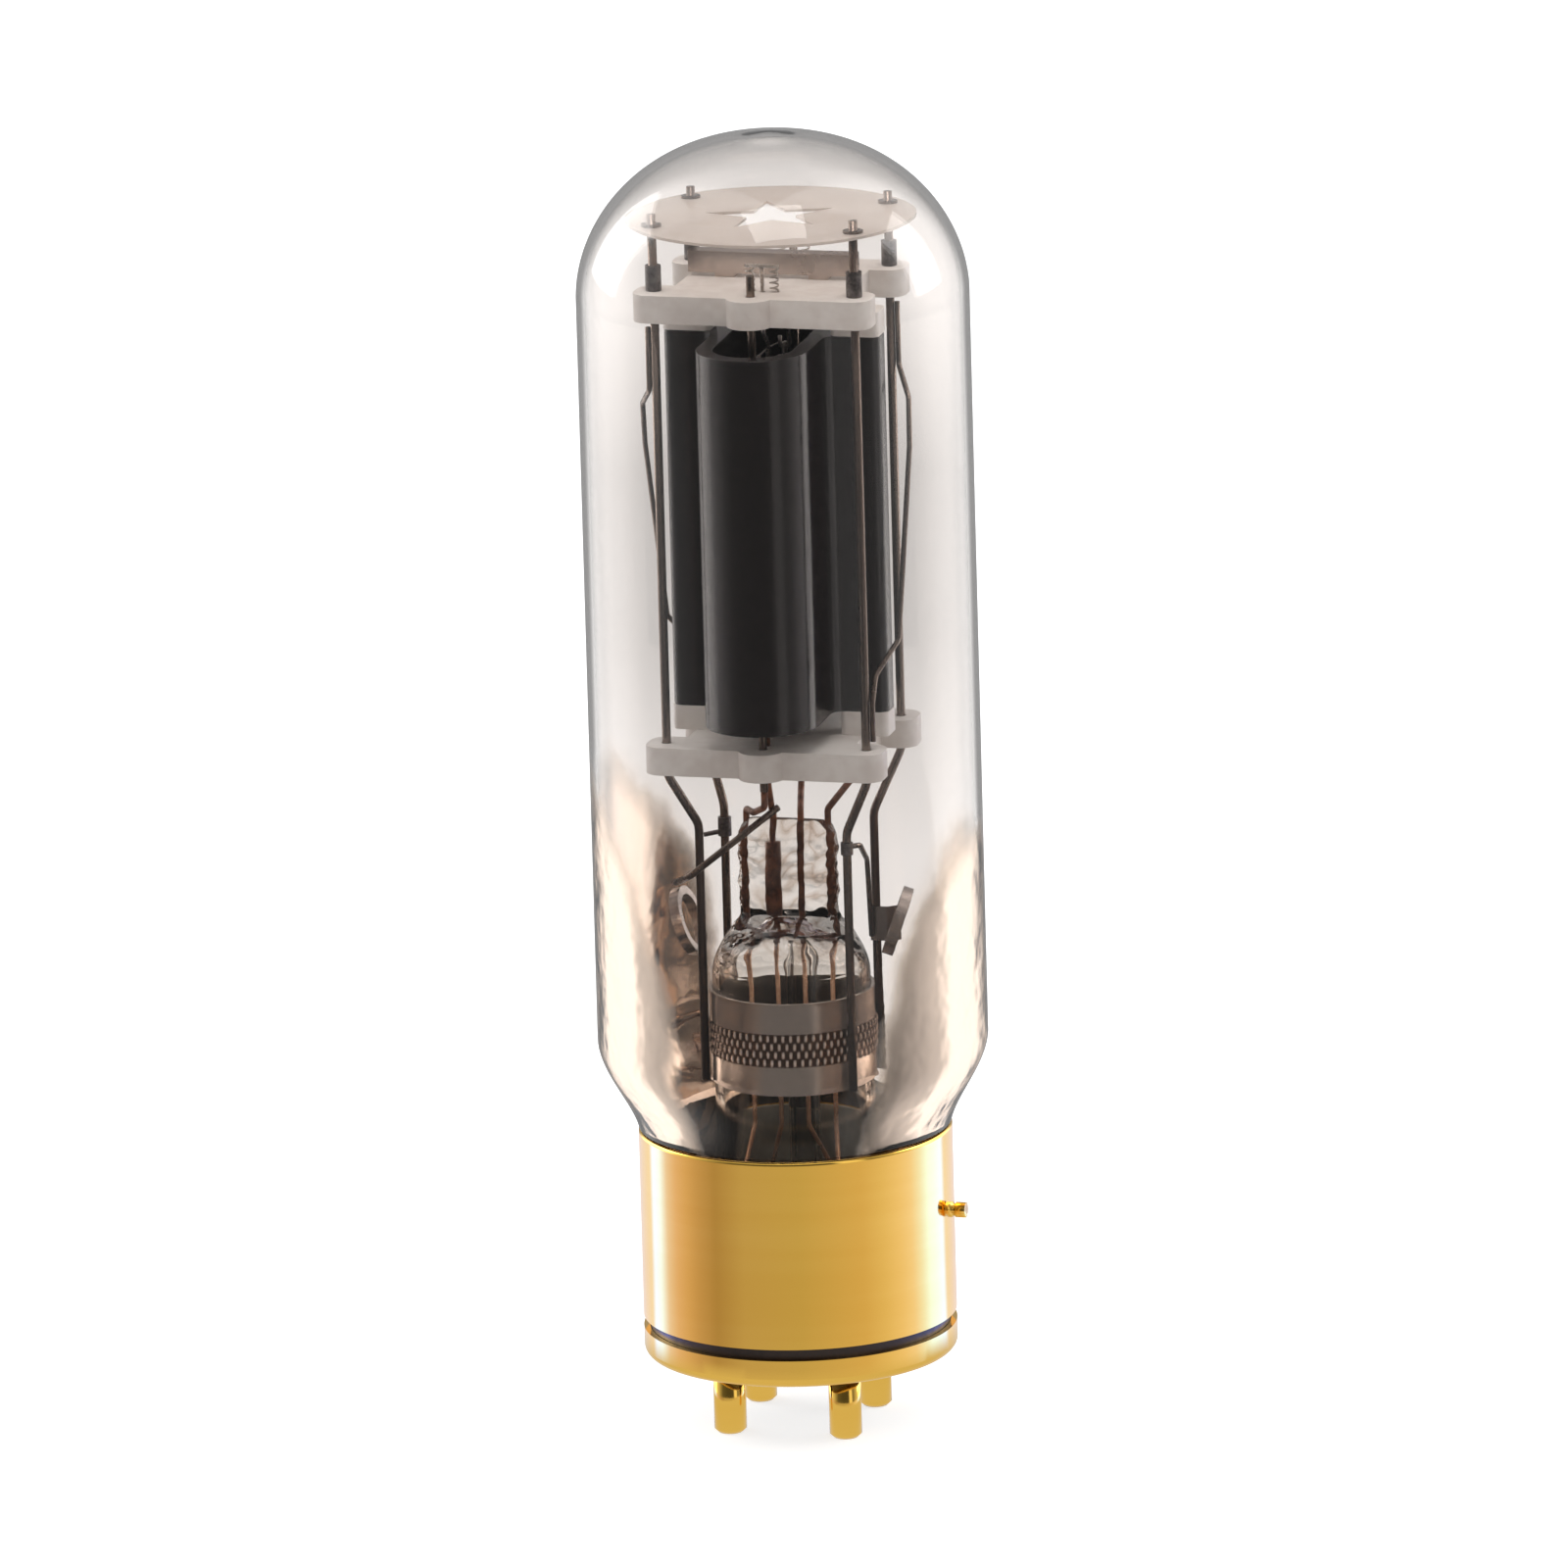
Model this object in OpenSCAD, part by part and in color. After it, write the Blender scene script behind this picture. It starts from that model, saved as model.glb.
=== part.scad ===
// Directly heated power triode: a tall glass tube on a four-pin bayonet base.
// Millimetres, +Z up. The pin tips stand on Z = 0 and the bulb's axis is the Z axis.
// X runs along the two ceramic plates, and the bayonet pin points along +X.

/* [Contact pins] */
// Side of the square that the four pins stand on
pin_square = 17.45; // [16:0.05:19]
// Diameter of a contact pin
pin_d = 4.76; // [4:0.02:5.2]
// Length of a pin below the base
pin_len = 10.8; // [9:0.1:13]
// Diameter of a pin's shank, which the wafer holds above the pin's shoulder
pin_shank_d = 4; // [3.6:0.05:4.2]
// Bore of a pin's shank, which takes its lead
pin_bore_d = 2.4; // [2:0.1:2.8]
// Chamfer round a pin's tip
pin_tip_chamfer = 0.6; // [0.2:0.1:1]
// Height to which solder fills a pin from its tip
pin_fill = 14; // [13:0.5:17]
// Thickness of a pin's riveted head on the wafer
pin_head_t = 0.8; // [0.5:0.1:1.5]

/* [Base] */
// Outside diameter of the metal base
base_d = 46; // [45:0.1:48]
// Wall of the base shell and of the base ring
base_wall = 0.9; // [0.7:0.1:1.2]
// Height of the bottom ring
ring_h = 4.2; // [3:0.1:6]
// Radius of the ring's lower edge
ring_edge_r = 1.4; // [0.5:0.1:1.8]
// Open groove between the ring and the shell
groove_h = 1.7; // [1:0.1:3]
// Height of the base shell
shell_h = 28.2; // [24:0.1:32]
// Thickness of the insulating wafer that holds the pins
wafer_h = 9; // [7:0.1:11]
// Play between the wafer and the metal round it
wafer_clear = 0.1; // [0.05:0.01:0.3]
// Diameter of the bayonet pin
bayonet_d = 2.3; // [2:0.1:2.8]
// Reach of the bayonet pin outside the shell
bayonet_out = 2.5; // [1.5:0.1:3]
// Height of the bayonet pin above the shell's lower edge
bayonet_rise = 16; // [12:0.5:20]
// Length of the bayonet pin's head, beyond its turned neck
bayonet_head = 1.5; // [1:0.1:2]

/* [Bulb] */
// Outside diameter of the bulb
bulb_d = 57.2; // [54:0.1:60]
// Thickness of the bulb's glass
bulb_wall = 1.2; // [0.9:0.1:1.5]
// Height of the shoulder between the base and the full diameter
shoulder_h = 13.6; // [12:0.1:18]
// Diameter of the bulb where it sits over the shell's rim
sill_d = 45.9; // [44.6:0.1:47]
// Distance from the top of the upper ceramic plate down to where the dome begins
dome_drop = 2.3; // [0:0.1:6]
// Height of the dome
dome_h = 23.6; // [22:0.1:28]
// Height of the small raised mark on top of the dome
crown_h = 0.4; // [0.2:0.1:0.8]
// Gap between the bulb's neck and the base shell, which cement fills
cement_t = 0.6; // [0.4:0.1:1]
// Clear height between the wafer and the bulb's neck inside the shell
neck_clear = 3.3; // [2.5:0.1:8]

/* [Stem] */
// Outside diameter of the stem's tube
stem_d = 23.2; // [22.4:0.1:26]
// Thickness of the stem's glass
stem_wall = 1.2; // [0.9:0.1:1.5]
// Height at which the stem's tube turns into its shoulder
stem_shoulder_z = 67.6; // [66.4:0.1:69]
// Width of the pinched press across its leads
press_w = 14.6; // [14:0.1:16]
// Thickness of the press
press_t = 5; // [4:0.1:6]
// Height of the top of the press
press_top_z = 91; // [88:0.1:93]
// Diameter of a lead sealed in the press
lead_d = 1; // [0.7:0.05:1.2]
// Pitch of the four leads along the press
lead_pitch = 4.1; // [3.4:0.05:4.2]
// Diameter of a soft lead between the press and a contact pin
pin_lead_d = 0.7; // [0.5:0.05:0.9]
// Height of the band that clamps the rods round the stem
collar_h = 13.8; // [10:0.1:16]
// Height of the band's lower edge
collar_z = 52.2; // [48:0.1:54]
// Thickness of the band
collar_t = 0.5; // [0.3:0.05:0.8]

/* [Cage] */
// Distance between the support rods along X
rod_span_x = 29.8; // [28:0.1:31]
// Distance between the support rods along Y
rod_span_y = 21; // [20:0.1:22]
// Diameter of a support rod
rod_d = 1.3; // [1:0.05:1.6]
// Height of the lower plate's underside
plate_z = 100.3; // [98:0.1:102]
// Thickness of a ceramic plate
plate_t = 4.15; // [3:0.05:5]
// Length of a ceramic plate along X
plate_l = 35.3; // [35:0.1:38]
// Depth of a ceramic plate along Y without its two lugs
plate_w = 28; // [27:0.1:30]
// Width of a plate's cross bars along Y
plate_bar_w = 7; // [6:0.1:8]
// Radius of a lug at the middle of a plate's long edge
lug_r = 3.4; // [3:0.1:4]
// Height of the bosses that the anode's wings rest on
boss_h = 3.6; // [2:0.1:5]
// Height of the mica disc's underside above the upper plate
mica_rise = 9; // [7:0.1:10]
// Diameter of the mica disc
mica_d = 42; // [38:0.1:44]
// Thickness of the mica disc
mica_t = 0.4; // [0.2:0.05:0.8]
// Radius of the mica's star opening at its points
star_r = 9.8; // [6:0.1:11]
// Turn of the star about the bulb's axis
star_turn = 18; // [0:1:36]

/* [Anode] */
// Height of the anode
anode_h = 56; // [50:0.1:60]
// Width of the anode's tube along X
anode_tube_w = 16.6; // [15:0.1:18]
// Depth of the anode's tube along Y
anode_tube_d = 40; // [36:0.1:42]
// Wall of the anode's tube
anode_wall = 2.5; // [1.5:0.1:3]
// Width of the anode over its two wings
anode_wing_span = 32.4; // [30:0.1:34]
// Thickness of a wing
anode_wing_t = 5.2; // [4:0.1:6]
// Radius where a wing runs into the tube
anode_fillet_r = 2; // [1:0.1:3]

/* [Grid and filament] */
// Distance between the grid's two side rods
grid_span = 24.6; // [23:0.1:25.4]
// Diameter of a grid side rod
grid_rod_d = 1.2; // [1:0.05:1.5]
// Diameter of the grid wire
grid_wire_d = 0.3; // [0.2:0.05:0.4]
// Width of the grid winding along X
grid_w = 6.2; // [5:0.1:7]
// Turns of the grid winding
grid_turns = 26; // [16:1:30]
// Diameter of the filament wire
filament_d = 0.5; // [0.3:0.05:0.6]
// Distance between the filament's two lower ends
filament_span = 20; // [18:0.1:21]
// Distance between the filament's two upper loops
filament_loop_span = 12; // [10:0.1:14]
// Turns of a filament spring
spring_turns = 4; // [3:1:6]

/* [Hidden] */
$fn = 64;

// Play round a wire or rod that is welded or sealed to its neighbour
weld_gap = 0.02;
// Play round a rod in a ceramic hole
hole_clear = 0.15;

// Gap between the shell's rim and the glass that bulges over it
sill_gap = 0.4;

// Heights from the pin tips upward
base_z = pin_len;
ring_floor_t = base_wall;
wafer_z = base_z + ring_floor_t;
wafer_top_z = wafer_z + wafer_h;
shell_z = base_z + ring_h + groove_h;
shell_top_z = shell_z + shell_h;
shoulder_z = shell_top_z + sill_gap;
side_z = shell_top_z + shoulder_h;
neck_z = wafer_top_z + neck_clear;
neck_h = shell_top_z - neck_z;
plate_top_z = plate_z + plate_t;
anode_z = plate_top_z + boss_h;
anode_top_z = anode_z + anode_h;
upper_z = anode_top_z + boss_h;
upper_top_z = upper_z + plate_t;
dome_z = upper_top_z - dome_drop;
mica_z = upper_top_z + mica_rise;
mica_top_z = mica_z + mica_t;

// Radii of the base and the bulb
base_r = base_d / 2;
base_in_r = base_r - base_wall;
wafer_r = base_in_r - wafer_clear;
wafer_chamfer = ring_edge_r - base_wall + 0.2;
neck_r = base_in_r - cement_t;
bulb_r = bulb_d / 2;
pin_at = pin_square / 2;
pin_head_r = pin_d / 2 + 0.7;
ring_lip_w = 1.6;
bayonet_neck_d = bayonet_d - 0.4;
bayonet_neck_w = 0.5;
cement_drop = 2.5;

// The four corners, counted round from the front left
corners = [[-1, -1], [1, -1], [1, 1], [-1, 1]];

// Stem and band
stem_r = stem_d / 2;
flare_h = 20;
flare_power = 2.2;
stem_top_h = 9.5;
stem_hollow_h = 7;
press_root_z = stem_shoulder_z + stem_hollow_h;
lead_end_z = press_root_z - 1.6;
seal_r = 1.2;
seal_z = press_root_z + 1;
seal_h = 12;
lead_r = lead_d / 2;
pin_lead_r = pin_lead_d / 2;
collar_in_r = stem_r + 0.1;
collar_bead = 0.15;
collar_edge_h = 0.5;
collar_band_z = 4.3;
collar_band_h = 4.9;
collar_r = collar_in_r + collar_t + collar_bead;

// Rods: wide apart through the plates, close together along the band
rod_r = rod_d / 2;
rod_at = [rod_span_x / 2, rod_span_y / 2];
rod_foot_angle = [24, 34, 28, 30];
rod_foot_r = collar_r + rod_r + weld_gap;
rod_foot = [
    for (i = [0 : 3])
        rod_foot_r * [corners[i][0] * cos(rod_foot_angle[i]), corners[i][1] * sin(rod_foot_angle[i])]
];
rod_foot_z = collar_z;
rod_knee_z = plate_z - 9.3;
rod_bend_r = 3;
rod_turn = 0.8;
rod_tip_z = mica_top_z + 1.7;
eyelet_t = 0.35;
eyelet_barrel_r = rod_r + 0.3;
eyelet_flange_r = eyelet_barrel_r + 0.5;

// Unit vector along v
function unit(v) = v / norm(v);

// S-curve from 0 to 1
function ease(t) = t * t * (3 - 2 * t);

// Direction of the run that leaves point i of a route
function heading(route, i) = unit(route[i + 1] - route[i]);

// Angle of the bend at an inner point i of a route
function bend_angle(route, i) = acos(heading(route, i - 1) * heading(route, i));

// Length of a run that the bend at point i takes up
function bend_setback(route, i, bend_r) = bend_r * tan(bend_angle(route, i) / 2);

// Points along the round bend at an inner point i of a route
function bend_points(route, i, bend_r) =
    let (
        run_in = heading(route, i - 1),
        inward = unit(cross(unit(cross(run_in, heading(route, i))), run_in)),
        start = route[i] - run_in * bend_setback(route, i, bend_r),
        steps = max(2, ceil(bend_angle(route, i) / 22))
    )
    [for (k = [0 : steps])
        let (a = bend_angle(route, i) * k / steps)
        start + bend_r * ((1 - cos(a)) * inward + sin(a) * run_in)];

// A route with every inner corner made round
function bent_path(route, bend_r) = concat(
    [route[0]],
    [for (i = [1 : len(route) - 2]) each bend_points(route, i, bend_r)],
    [route[len(route) - 1]]
);

// Direction along a path at point i
function along(path, i) = unit(path[min(i + 1, len(path) - 1)] - path[max(i - 1, 0)]);

// The part of v that is square to the path at point i, as a unit vector
function square_to(v, path, i) = unit(v - along(path, i) * (v * along(path, i)));

// Side vectors carried along a path without twist, from any first one
function side_vectors(path, first) = [
    for (i = 0, side = square_to(first, path, 0); i < len(path);
        i = i + 1, side = i < len(path) ? square_to(side, path, i) : side) side
];

// One ring of a tube round point i of a path
function tube_ring(path, side, i, r, sides) =
    let (other = cross(along(path, i), side))
    [for (k = [0 : sides - 1]) path[i] + r * (cos(360 * k / sides) * side + sin(360 * k / sides) * other)];

// A round tube along a path, with flat ends
module tube(path, first_side, r, sides) {
    n = len(path);
    side = side_vectors(path, first_side);
    points = [for (i = [0 : n - 1]) each tube_ring(path, side[i], i, r, sides)];
    walls = [
        for (i = [0 : n - 2]) for (k = [0 : sides - 1])
            let (a = i * sides + k, b = i * sides + (k + 1) % sides)
            each [[a, a + sides, b], [b, a + sides, b + sides]]
    ];
    first = [for (k = [0 : sides - 1]) k];
    end = [for (k = [sides - 1 : -1 : 0]) (n - 1) * sides + k];
    polyhedron(points, concat([first], walls, [end]));
}

// A wire bent along a route
module bent_wire(route, r, bend_r, sides = 8)
    tube(bent_path(route, bend_r), abs(heading(route, 0)[2]) < 0.9 ? [0, 0, 1] : [1, 0, 0], r, sides);

// Places a child drawn in the frame of axes x, y, z at point o
module place(o, x, y, z)
    multmatrix([
        [x[0], y[0], z[0], o[0]],
        [x[1], y[1], z[1], o[1]],
        [x[2], y[2], z[2], o[2]],
        [0, 0, 0, 1]
    ])
        children();

// A straight piece of wire from a to b
module wire_run(a, b, r) {
    z = unit(b - a);
    x = unit(cross([0, 0, 1], z));
    place(a, x, cross(z, x), z) cylinder(r = r, h = norm(b - a), $fn = 24);
}

// Bar with round ends, in plan: total length along X or Y
module stadium(length, width) {
    square([length - width, width], center = true);
    for (s = [-1, 1]) translate([s * (length - width) / 2, 0]) circle(d = width);
}

// Rectangle with round corners, in plan, centred
module rounded_bar(l, w, r) {
    square([l - 2 * r, w], center = true);
    square([l, w - 2 * r], center = true);
    for (sx = [-1, 1]) for (sy = [-1, 1])
        translate([sx * (l / 2 - r), sy * (w / 2 - r)]) circle(r = r);
}

// Points on the outside of the bulb, from the sill over the shell up to the crown
shoulder_steps = 14;
dome_steps = 26;
sill_r = sill_d / 2;
shoulder_start = 0.12;
function shoulder_ease(t) =
    ease(shoulder_start + (1 - shoulder_start) * t) - ease(shoulder_start) * (1 - t);
function shoulder_point(t, wall) = [
    sill_r + (bulb_r - sill_r) * shoulder_ease(t) - wall,
    shoulder_z + (side_z - shoulder_z) * t
];
dome_power_across = 2 / 2.2;
dome_power_up = 2 / 1.9;
crown_r = 2.2;
function crown_rise(r) = crown_h * exp(-pow(r / crown_r, 2));
function dome_point(a, wall) = [
    (bulb_r - wall) * pow(cos(a), dome_power_across),
    dome_z + (dome_h - wall) * pow(sin(a), dome_power_up) + crown_rise((bulb_r - wall) * cos(a))
];
bulb_outside = concat(
    [[neck_r, neck_z], [neck_r, shell_top_z]],
    [for (i = [0 : shoulder_steps]) shoulder_point(i / shoulder_steps, 0)],
    [for (i = [0 : dome_steps - 1]) dome_point(90 * i / dome_steps, 0)],
    [[0, dome_z + dome_h + crown_h]]
);
bulb_inside = concat(
    [[0, dome_z + dome_h + crown_h - bulb_wall]],
    [for (i = [dome_steps - 1 : -1 : 0]) dome_point(90 * i / dome_steps, bulb_wall)],
    [for (i = [shoulder_steps : -1 : 0]) shoulder_point(i / shoulder_steps, bulb_wall)],
    [[neck_r - bulb_wall, shell_top_z], [neck_r - bulb_wall, neck_z]]
);

module glass_envelope()
    color([0.92, 0.94, 0.94, 0.25])
        rotate_extrude() polygon(concat(bulb_outside, bulb_inside));

// Rolled sheet-metal shell round the neck, with the hole for the bayonet pin
module base_shell()
    color("goldenrod")
        difference() {
            rotate_extrude() {
                translate([base_in_r, shell_z]) square([base_wall, shell_h - base_wall / 2]);
                translate([base_in_r + base_wall / 2, shell_top_z - base_wall / 2])
                    circle(d = base_wall, $fn = 24);
            }
            translate([0, 0, shell_z + bayonet_rise]) rotate([0, 90, 0])
                cylinder(d = bayonet_d + 2 * weld_gap, h = base_d);
        }

// Bottom ring with an inward floor that the wafer sits on
module base_ring()
    color("goldenrod")
        rotate_extrude() {
            translate([base_in_r, base_z + ring_edge_r]) square([base_wall, ring_h - ring_edge_r]);
            translate([base_in_r - ring_lip_w, base_z])
                square([ring_lip_w + base_wall - ring_edge_r, ring_floor_t]);
            intersection() {
                translate([base_r - ring_edge_r, base_z]) square([ring_edge_r, ring_edge_r]);
                difference() {
                    translate([base_r - ring_edge_r, base_z + ring_edge_r]) circle(r = ring_edge_r);
                    translate([base_r - ring_edge_r, base_z + ring_edge_r])
                        circle(r = ring_edge_r - base_wall);
                }
            }
        }

module base_wafer()
    color([0.16, 0.13, 0.12])
        difference() {
            union() {
                translate([0, 0, wafer_z])
                    cylinder(r1 = wafer_r - wafer_chamfer, r2 = wafer_r, h = wafer_chamfer);
                translate([0, 0, wafer_z + wafer_chamfer])
                    cylinder(r = wafer_r, h = wafer_h - wafer_chamfer);
            }
            for (c = corners)
                translate([c[0] * pin_at, c[1] * pin_at, wafer_z - 1])
                    cylinder(d = pin_shank_d + 2 * weld_gap, h = wafer_h + 2);
        }

module base_cement()
    color([0.8, 0.76, 0.68])
        translate([0, 0, neck_z])
            difference() {
                cylinder(r = base_in_r - weld_gap, h = neck_h - cement_drop);
                translate([0, 0, -1]) cylinder(r = neck_r + weld_gap, h = neck_h);
            }

// Turned brass pin with a neck behind its head
module bayonet_pin()
    color("goldenrod")
        translate([0, 0, shell_z + bayonet_rise]) rotate([0, 90, 0]) {
            inner = base_in_r + weld_gap;
            tip = base_r + bayonet_out;
            neck = tip - bayonet_head - bayonet_neck_w;
            translate([0, 0, inner]) cylinder(d = bayonet_d, h = neck - inner);
            translate([0, 0, neck]) cylinder(d = bayonet_neck_d, h = bayonet_neck_w);
            translate([0, 0, tip - bayonet_head]) cylinder(d = bayonet_d, h = bayonet_head);
        }

// Contact pin: chamfered tip, shoulder under the wafer, hollow shank riveted over on top of it
module contact_pin(c)
    color("gold")
        translate([c[0] * pin_at, c[1] * pin_at, 0])
            rotate_extrude()
                polygon([
                    [0, 0],
                    [pin_d / 2 - pin_tip_chamfer, 0],
                    [pin_d / 2, pin_tip_chamfer],
                    [pin_d / 2, wafer_z],
                    [pin_shank_d / 2, wafer_z],
                    [pin_shank_d / 2, wafer_top_z],
                    [pin_head_r, wafer_top_z],
                    [pin_head_r, wafer_top_z + pin_head_t],
                    [pin_bore_d / 2, wafer_top_z + pin_head_t],
                    [pin_bore_d / 2, pin_fill],
                    [0, pin_fill]
                ]);

// The stem's outside: flare, tube, and a shoulder round the press; its hollow is one wall inside
flare_steps = 12;
stem_top_steps = 8;
flare_spread = neck_r - bulb_wall - 0.1 - stem_r;
function flare_point(t, wall) = [
    stem_r + flare_spread * pow(1 - t, flare_power) - wall,
    neck_z + flare_h * t
];
function stem_top_point(a, r, h) = [r * cos(a), stem_shoulder_z + h * sin(a)];
stem_outside = concat(
    [[neck_r - bulb_wall, neck_z - stem_wall], [neck_r, neck_z - stem_wall], [neck_r, neck_z]],
    [for (i = [0 : flare_steps]) flare_point(i / flare_steps, 0)],
    [for (i = [0 : stem_top_steps]) stem_top_point(90 * i / stem_top_steps, stem_r, stem_top_h)]
);
stem_inside = concat(
    [for (i = [stem_top_steps : -1 : 0])
        stem_top_point(90 * i / stem_top_steps, stem_r - stem_wall, stem_hollow_h)],
    [for (i = [flare_steps : -1 : 1]) flare_point(i / flare_steps, stem_wall)]
);
exhaust_y = 5.6;
exhaust_r = 2.4;
exhaust_bore_r = 1.4;
exhaust_tip_z = neck_z + 4;

module stem_glass()
    color([0.85, 0.88, 0.85, 0.4])
        difference() {
            union() {
                rotate_extrude() polygon(concat(stem_outside, stem_inside));
                press_body();
                translate([0, exhaust_y, exhaust_tip_z])
                    cylinder(r = exhaust_r, h = press_root_z - exhaust_tip_z);
                translate([0, exhaust_y, exhaust_tip_z]) sphere(r = exhaust_r);
            }
            translate([0, exhaust_y, exhaust_tip_z]) cylinder(r = exhaust_bore_r, h = press_root_z);
            for (i = [0 : 3])
                translate([lead_x(i), 0, lead_end_z - 1])
                    cylinder(r = lead_r + weld_gap, h = press_top_z, $fn = 24);
            lead_seal(weld_gap);
        }

// The pinched glass that seals the leads, round at its top and sides
module press_body() {
    round_z = press_top_z - press_t / 2;
    translate([0, 0, press_root_z]) linear_extrude(round_z - press_root_z) stadium(press_w, press_t);
    translate([-(press_w - press_t) / 2, 0, round_z]) rotate([0, 90, 0])
        cylinder(d = press_t, h = press_w - press_t);
    for (s = [-1, 1]) translate([s * (press_w - press_t) / 2, 0, round_z]) sphere(d = press_t);
}

// Place of lead i along the press
function lead_x(i) = (i - 1.5) * lead_pitch;

// Sheet band round the stem: two thick edges and a raised middle
module stem_collar()
    color([0.62, 0.6, 0.57])
        rotate_extrude() {
            translate([collar_in_r, collar_z]) square([collar_t, collar_h]);
            translate([collar_in_r, collar_z + collar_band_z])
                square([collar_t + collar_bead, collar_band_h]);
            for (z = [collar_z, collar_z + collar_h - collar_edge_h])
                translate([collar_in_r, z]) square([collar_t + collar_bead, collar_edge_h]);
        }

// Lead that ends under a plate hole: up through the press, across, then up
module press_lead(i, over, foot, top_z)
    color([0.35, 0.28, 0.25])
        bent_wire(
            [
                [lead_x(i), 0, lead_end_z],
                [lead_x(i), 0, press_top_z + 1.2],
                over,
                foot,
                [foot[0], foot[1], top_z]
            ],
            lead_r, 1
        );

grid_rod_foot_z = plate_z - 2.2;
filament_end_z = plate_top_z + 1.7;
anode_lead_x = 11;
lead_reach = 6;
lead_rise = 2.6;
grid_lead_over = [-3.4, -lead_reach, press_top_z + 2.2];
filament_lead_over = [-0.6, -lead_reach, press_top_z + lead_rise];
filament_lead_back = [0.6, lead_reach, press_top_z + lead_rise];
filament_foot_z = plate_z - 1.6;

module grid_lead()
    press_lead(0, grid_lead_over, [0, -grid_span / 2, grid_rod_foot_z - 2.4], grid_rod_foot_z);

module filament_lead_front() {
    press_lead(1, filament_lead_over, [0, -filament_span / 2, filament_foot_z], filament_end_z);
    color([0.35, 0.28, 0.25]) lead_seal(0);
}

// Thick sealed part of the front filament lead in the press, with play round it
module lead_seal(play)
    translate([lead_x(1), 0, seal_z - play]) cylinder(r = seal_r + play, h = seal_h + 2 * play);

module filament_lead_rear()
    press_lead(2, filament_lead_back, [0, filament_span / 2, filament_foot_z], filament_end_z);

anode_lead_rise = 1.6;

module anode_lead()
    color([0.35, 0.28, 0.25])
        bent_wire(
            [
                [lead_x(3), 0, lead_end_z],
                [lead_x(3), 0, press_top_z + anode_lead_rise],
                [anode_lead_x, 0, plate_z - anode_lead_rise],
                [anode_lead_x, 0, anode_z]
            ],
            lead_r, 1
        );

// Soft lead from the underside of the press down into its pin
pin_lead_drop = 21;
pin_lead_turn = 2.5;
module pin_lead(i, c)
    color([0.72, 0.45, 0.3])
        bent_wire(
            [
                [lead_x(i), 0, lead_end_z],
                [lead_x(i), 0, neck_z + pin_lead_drop],
                [c[0] * pin_at, c[1] * pin_at, neck_z + pin_lead_turn],
                [c[0] * pin_at, c[1] * pin_at, pin_fill + weld_gap]
            ],
            pin_lead_r, 2
        );

// Support rod: along the band, out under the lower plate, up through both plates and the mica
module support_rod(i) {
    foot = rod_foot[i];
    top = [corners[i][0] * rod_at[0], corners[i][1] * rod_at[1]];
    color([0.45, 0.43, 0.42])
        bent_wire(
            [
                [foot[0], foot[1], rod_foot_z],
                [foot[0], foot[1], rod_knee_z],
                [top[0], top[1], plate_z - rod_turn],
                [top[0], top[1], rod_tip_z]
            ],
            rod_r, rod_bend_r, 12
        );
}

sleeve_h = 3.8;
sleeve_r = rod_r + 0.5;

// Crimped stop on a rod, on top of the upper plate
module rod_sleeve(c)
    color([0.25, 0.24, 0.24])
        translate([c[0] * rod_at[0], c[1] * rod_at[1], upper_top_z])
            difference() {
                cylinder(r = sleeve_r, h = sleeve_h, $fn = 32);
                translate([0, 0, -1]) cylinder(r = rod_r + weld_gap, h = sleeve_h + 2, $fn = 32);
            }

// Outline of a ceramic plate: two cross bars, the waist between them and two lugs
plate_corner_r = 2.6;
plate_notch = 5;
lug_inset = 1;

module plate_outline() {
    bar_y = (plate_w - plate_bar_w) / 2;
    waist_l = plate_l - 2 * plate_notch;
    for (s = [-1, 1]) {
        translate([0, s * bar_y]) rounded_bar(plate_l, plate_bar_w, plate_corner_r);
        translate([0, s * (plate_w / 2 - lug_inset)]) circle(r = lug_r);
    }
    square([waist_l, plate_w - plate_bar_w], center = true);
}

// Holes through a plate: rods, grid rods and the two wires at +-at
module plate_holes(at, wire_r) {
    for (c = corners)
        translate([c[0] * rod_at[0], c[1] * rod_at[1]]) circle(r = rod_r + hole_clear, $fn = 32);
    for (s = [-1, 1]) {
        translate([0, s * grid_span / 2]) circle(r = grid_rod_d / 2 + hole_clear, $fn = 32);
        translate([at[0], s * at[1]]) circle(r = wire_r + hole_clear, $fn = 32);
    }
}

// The two bosses that carry the anode's wings, in plan
module boss_outline() {
    boss_in = anode_tube_w / 2 + 0.7;
    boss_out = anode_wing_span / 2;
    for (s = [-1, 1])
        translate([s * (boss_in + boss_out) / 2, 0]) rounded_bar(boss_out - boss_in, anode_wing_t, 1);
}

module lower_ceramic_plate()
    color([0.88, 0.86, 0.82])
        difference() {
            union() {
                translate([0, 0, plate_z]) linear_extrude(plate_t) plate_outline();
                translate([0, 0, plate_top_z]) linear_extrude(boss_h) boss_outline();
            }
            translate([0, 0, plate_z - 1]) linear_extrude(plate_t + boss_h + 2) {
                plate_holes([0, filament_span / 2], lead_r);
                translate([anode_lead_x, 0]) circle(r = lead_r + hole_clear, $fn = 32);
                circle(r = post_r + weld_gap, $fn = 32);
            }
        }

spring_mid_x = 0.9;
spring_y = 9;
hook_r = 0.3;

module upper_ceramic_plate()
    color([0.9, 0.88, 0.85])
        difference() {
            union() {
                translate([0, 0, upper_z]) linear_extrude(plate_t) plate_outline();
                translate([0, 0, anode_top_z]) linear_extrude(boss_h) boss_outline();
            }
            translate([0, 0, anode_top_z - 1]) linear_extrude(plate_t + boss_h + 2)
                plate_holes([spring_mid_x, spring_y], hook_r);
        }

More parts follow.
